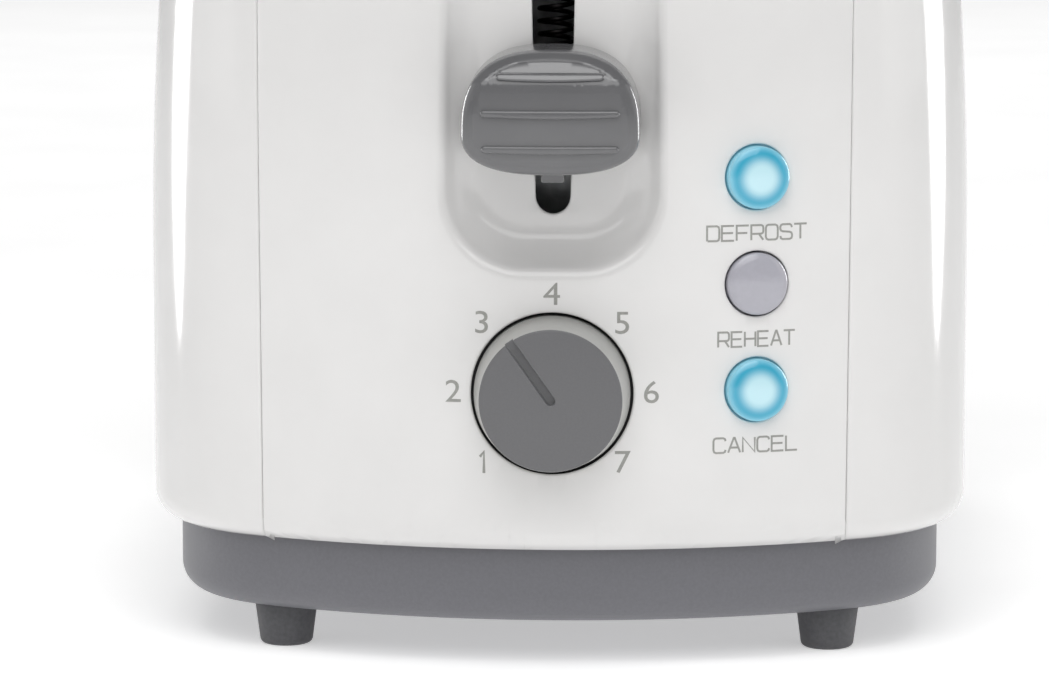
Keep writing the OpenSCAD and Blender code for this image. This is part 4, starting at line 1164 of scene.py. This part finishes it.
def stage():
    """Camera, pale floor and soft lights."""
    scene = bpy.context.scene
    scene.view_settings.view_transform = "Standard"
    aim = Vector((-5.7, front_of_row(), 68.6)) / MM
    away, rise, turn = 1114.0 / MM, math.radians(8.45), math.radians(2.08)
    data = bpy.data.cameras.new("camera")
    data.sensor_width = 36.0
    data.lens = 184.1
    data.clip_start, data.clip_end = 0.05, 60.0
    camera = bpy.data.objects.new("camera", data)
    scene.collection.objects.link(camera)
    back = Vector((math.sin(turn) * math.cos(rise), -math.cos(turn) * math.cos(rise),
                   math.sin(rise)))
    camera.location = aim + back * away
    camera.rotation_mode = "QUATERNION"
    camera.rotation_quaternion = (-back).to_track_quat("-Z", "Y")
    scene.camera = camera

    bm = bmesh.new()
    bmesh.ops.create_grid(bm, x_segments=8, y_segments=8, size=9.0)
    mesh = bpy.data.meshes.new("floor")
    bm.to_mesh(mesh)
    bm.free()
    floor = bpy.data.objects.new("floor", mesh)
    scene.collection.objects.link(floor)
    # Plain white paper sweep, lit evenly.
    paper = finish("paper_sweep_white", "F4F4F4", "FAFAFA", (0.8, 0.9), 60.0)
    shader = next(n for n in paper.node_tree.nodes if n.type == "BSDF_PRINCIPLED")
    shader.inputs["Emission Color"].default_value = (1, 1, 1, 1)
    shader.inputs["Emission Strength"].default_value = 0.42
    shader.inputs["Specular IOR Level"].default_value = 0.1
    mesh.materials.append(paper)

    world = bpy.data.worlds.new("studio")
    scene.world = world
    world.use_nodes = True
    world.node_tree.nodes["Background"].inputs["Color"].default_value = (1, 1, 1, 1)
    world.node_tree.nodes["Background"].inputs["Strength"].default_value = 0.17

    def panel(name, place, target, size, watts, shape_kind="RECTANGLE", diffuse=True):
        lamp = bpy.data.lights.new(name, "AREA")
        lamp.shape = shape_kind
        lamp.size, lamp.size_y = size
        lamp.energy = watts
        light = bpy.data.objects.new(name, lamp)
        scene.collection.objects.link(light)
        light.location = place
        light.rotation_mode = "QUATERNION"
        light.rotation_quaternion = (Vector(target) - Vector(place)).to_track_quat("-Z", "Y")
        light.visible_diffuse = diffuse
        return light

    panel("softbox_key", (0, -1.25, 1.05), (0, -0.12, 0.1), (1.6, 0.8), 7.4)
    panel("softbox_top", (0, -0.66, 1.28), (0, -0.17, 0.125), (1.0, 0.5), 5.6)
    panel("softbox_left", (-1.5, -0.35, 0.55), (0, 0, 0.08), (1.0, 1.0), 2.0)
    panel("softbox_right", (1.5, -0.35, 0.55), (0, 0, 0.08), (1.0, 1.0), 2.3)
    panel("softbox_back", (0, 1.5, 1.2), (0, 0, 0.1), (1.5, 1.0), 9)
    for side in (-1, 1):
        panel("strip_left" if side < 0 else "strip_right",
              (side * 0.395, 0.02, 0.15), (side * 0.08, -0.07, 0.11), (0.125, 0.27), 0.9,
              "ELLIPSE", False)


def front_of_row():
    """The front of the end panel along Y in the shared frame."""
    return PANEL_BOX[0].y


# ---------------------------------------------------------------- operators

class Building(bpy.types.Operator):
    """Common ground of the operators that build pieces"""
    bl_options = {"REGISTER", "UNDO"}

    def build(self, h):
        raise NotImplementedError

    def execute(self, context):
        self.build(shape())
        return {"FINISHED"}


class TOASTER_OT_finishes(Building):
    """Make every material and put the hidden parts' own on them"""
    bl_idname = "toaster.finishes"
    bl_label = "Finishes"

    def build(self, h):
        make_finishes()
        for name, key in CAD_FINISHES.items():
            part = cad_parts[name]
            if part.data.materials:
                for index in range(len(part.data.materials)):
                    part.data.materials[index] = FINISHES[key]
            else:
                part.data.materials.append(FINISHES[key])


class TOASTER_OT_front_panel(Building):
    """Build the end panel with the scoop, the lever slot and the openings"""
    bl_idname = "toaster.front_panel"
    bl_label = "Front panel"

    def build(self, h):
        front_panel(h)


class TOASTER_OT_rear_panel(Building):
    """Build the plain end panel at the back"""
    bl_idname = "toaster.rear_panel"
    bl_label = "Rear panel"

    def build(self, h):
        rear_panel(h)


class TOASTER_OT_side_shells(Building):
    """Build the two side shells"""
    bl_idname = "toaster.side_shells"
    bl_label = "Side shells"

    def build(self, h):
        for side in (-1, 1):
            side_shell(h, side)


class TOASTER_OT_lid(Building):
    """Build the lid with its two bread slots"""
    bl_idname = "toaster.lid"
    bl_label = "Lid"

    def build(self, h):
        lid(h)


class TOASTER_OT_base(Building):
    """Build the base tub and the feet"""
    bl_idname = "toaster.base"
    bl_label = "Base and feet"

    def build(self, h):
        base(h)
        feet(h)


class TOASTER_OT_lever(Building):
    """Build the lever knob and the return spring"""
    bl_idname = "toaster.lever"
    bl_label = "Lever knob and spring"

    def build(self, h):
        lever_knob(h)
        spring()


class TOASTER_OT_dial(Building):
    """Build the browning dial"""
    bl_idname = "toaster.dial"
    bl_label = "Dial"

    def build(self, h):
        dial_knob(h)


class TOASTER_OT_buttons(Building):
    """Build the three push buttons"""
    bl_idname = "toaster.buttons"
    bl_label = "Buttons"

    def build(self, h):
        push_buttons(h)


class TOASTER_OT_printing(Building):
    """Print the figures and the plain words"""
    bl_idname = "toaster.printing"
    bl_label = "Printing"

    def build(self, h):
        printing(h)


class TOASTER_OT_stage(Building):
    """Set up the camera, the floor and the lights"""
    bl_idname = "toaster.stage"
    bl_label = "Stage"

    def build(self, h):
        stage()


STEPS = (TOASTER_OT_stage, TOASTER_OT_finishes, TOASTER_OT_front_panel, TOASTER_OT_rear_panel,
         TOASTER_OT_side_shells, TOASTER_OT_lid, TOASTER_OT_base, TOASTER_OT_lever,
         TOASTER_OT_dial, TOASTER_OT_buttons, TOASTER_OT_printing)


class TOASTER_PT_sidebar(bpy.types.Panel):
    """Lists the sizes, the colours and the steps"""
    bl_idname = "TOASTER_PT_sidebar"
    bl_label = "Toaster"
    bl_space_type = "VIEW_3D"
    bl_region_type = "UI"
    bl_category = "Toaster"

    def draw(self, context):
        for step in STEPS:
            self.layout.operator(step.bl_idname, text=step.bl_label)
        for group in (context.scene.toaster_housing, context.scene.toaster_controls,
                      context.scene.toaster_colours):
            for key in group.__annotations__:
                self.layout.prop(group, key)


GROUPS = {"toaster_housing": HousingSizes, "toaster_controls": ControlSizes,
          "toaster_colours": Colours}


def register():
    for name, group in GROUPS.items():
        bpy.utils.register_class(group)
        setattr(bpy.types.Scene, name, bpy.props.PointerProperty(type=group))
    for step in STEPS:
        bpy.utils.register_class(step)
    bpy.utils.register_class(TOASTER_PT_sidebar)


def unregister():
    bpy.utils.unregister_class(TOASTER_PT_sidebar)
    for step in reversed(STEPS):
        bpy.utils.unregister_class(step)
    for name, group in GROUPS.items():
        delattr(bpy.types.Scene, name)
        bpy.utils.unregister_class(group)


def main():
    """Builds everything in order."""
    register()
    for step in STEPS:
        area, name = step.bl_idname.split(".")
        getattr(getattr(bpy.ops, area), name)()


if __name__ == "__main__":
    main()
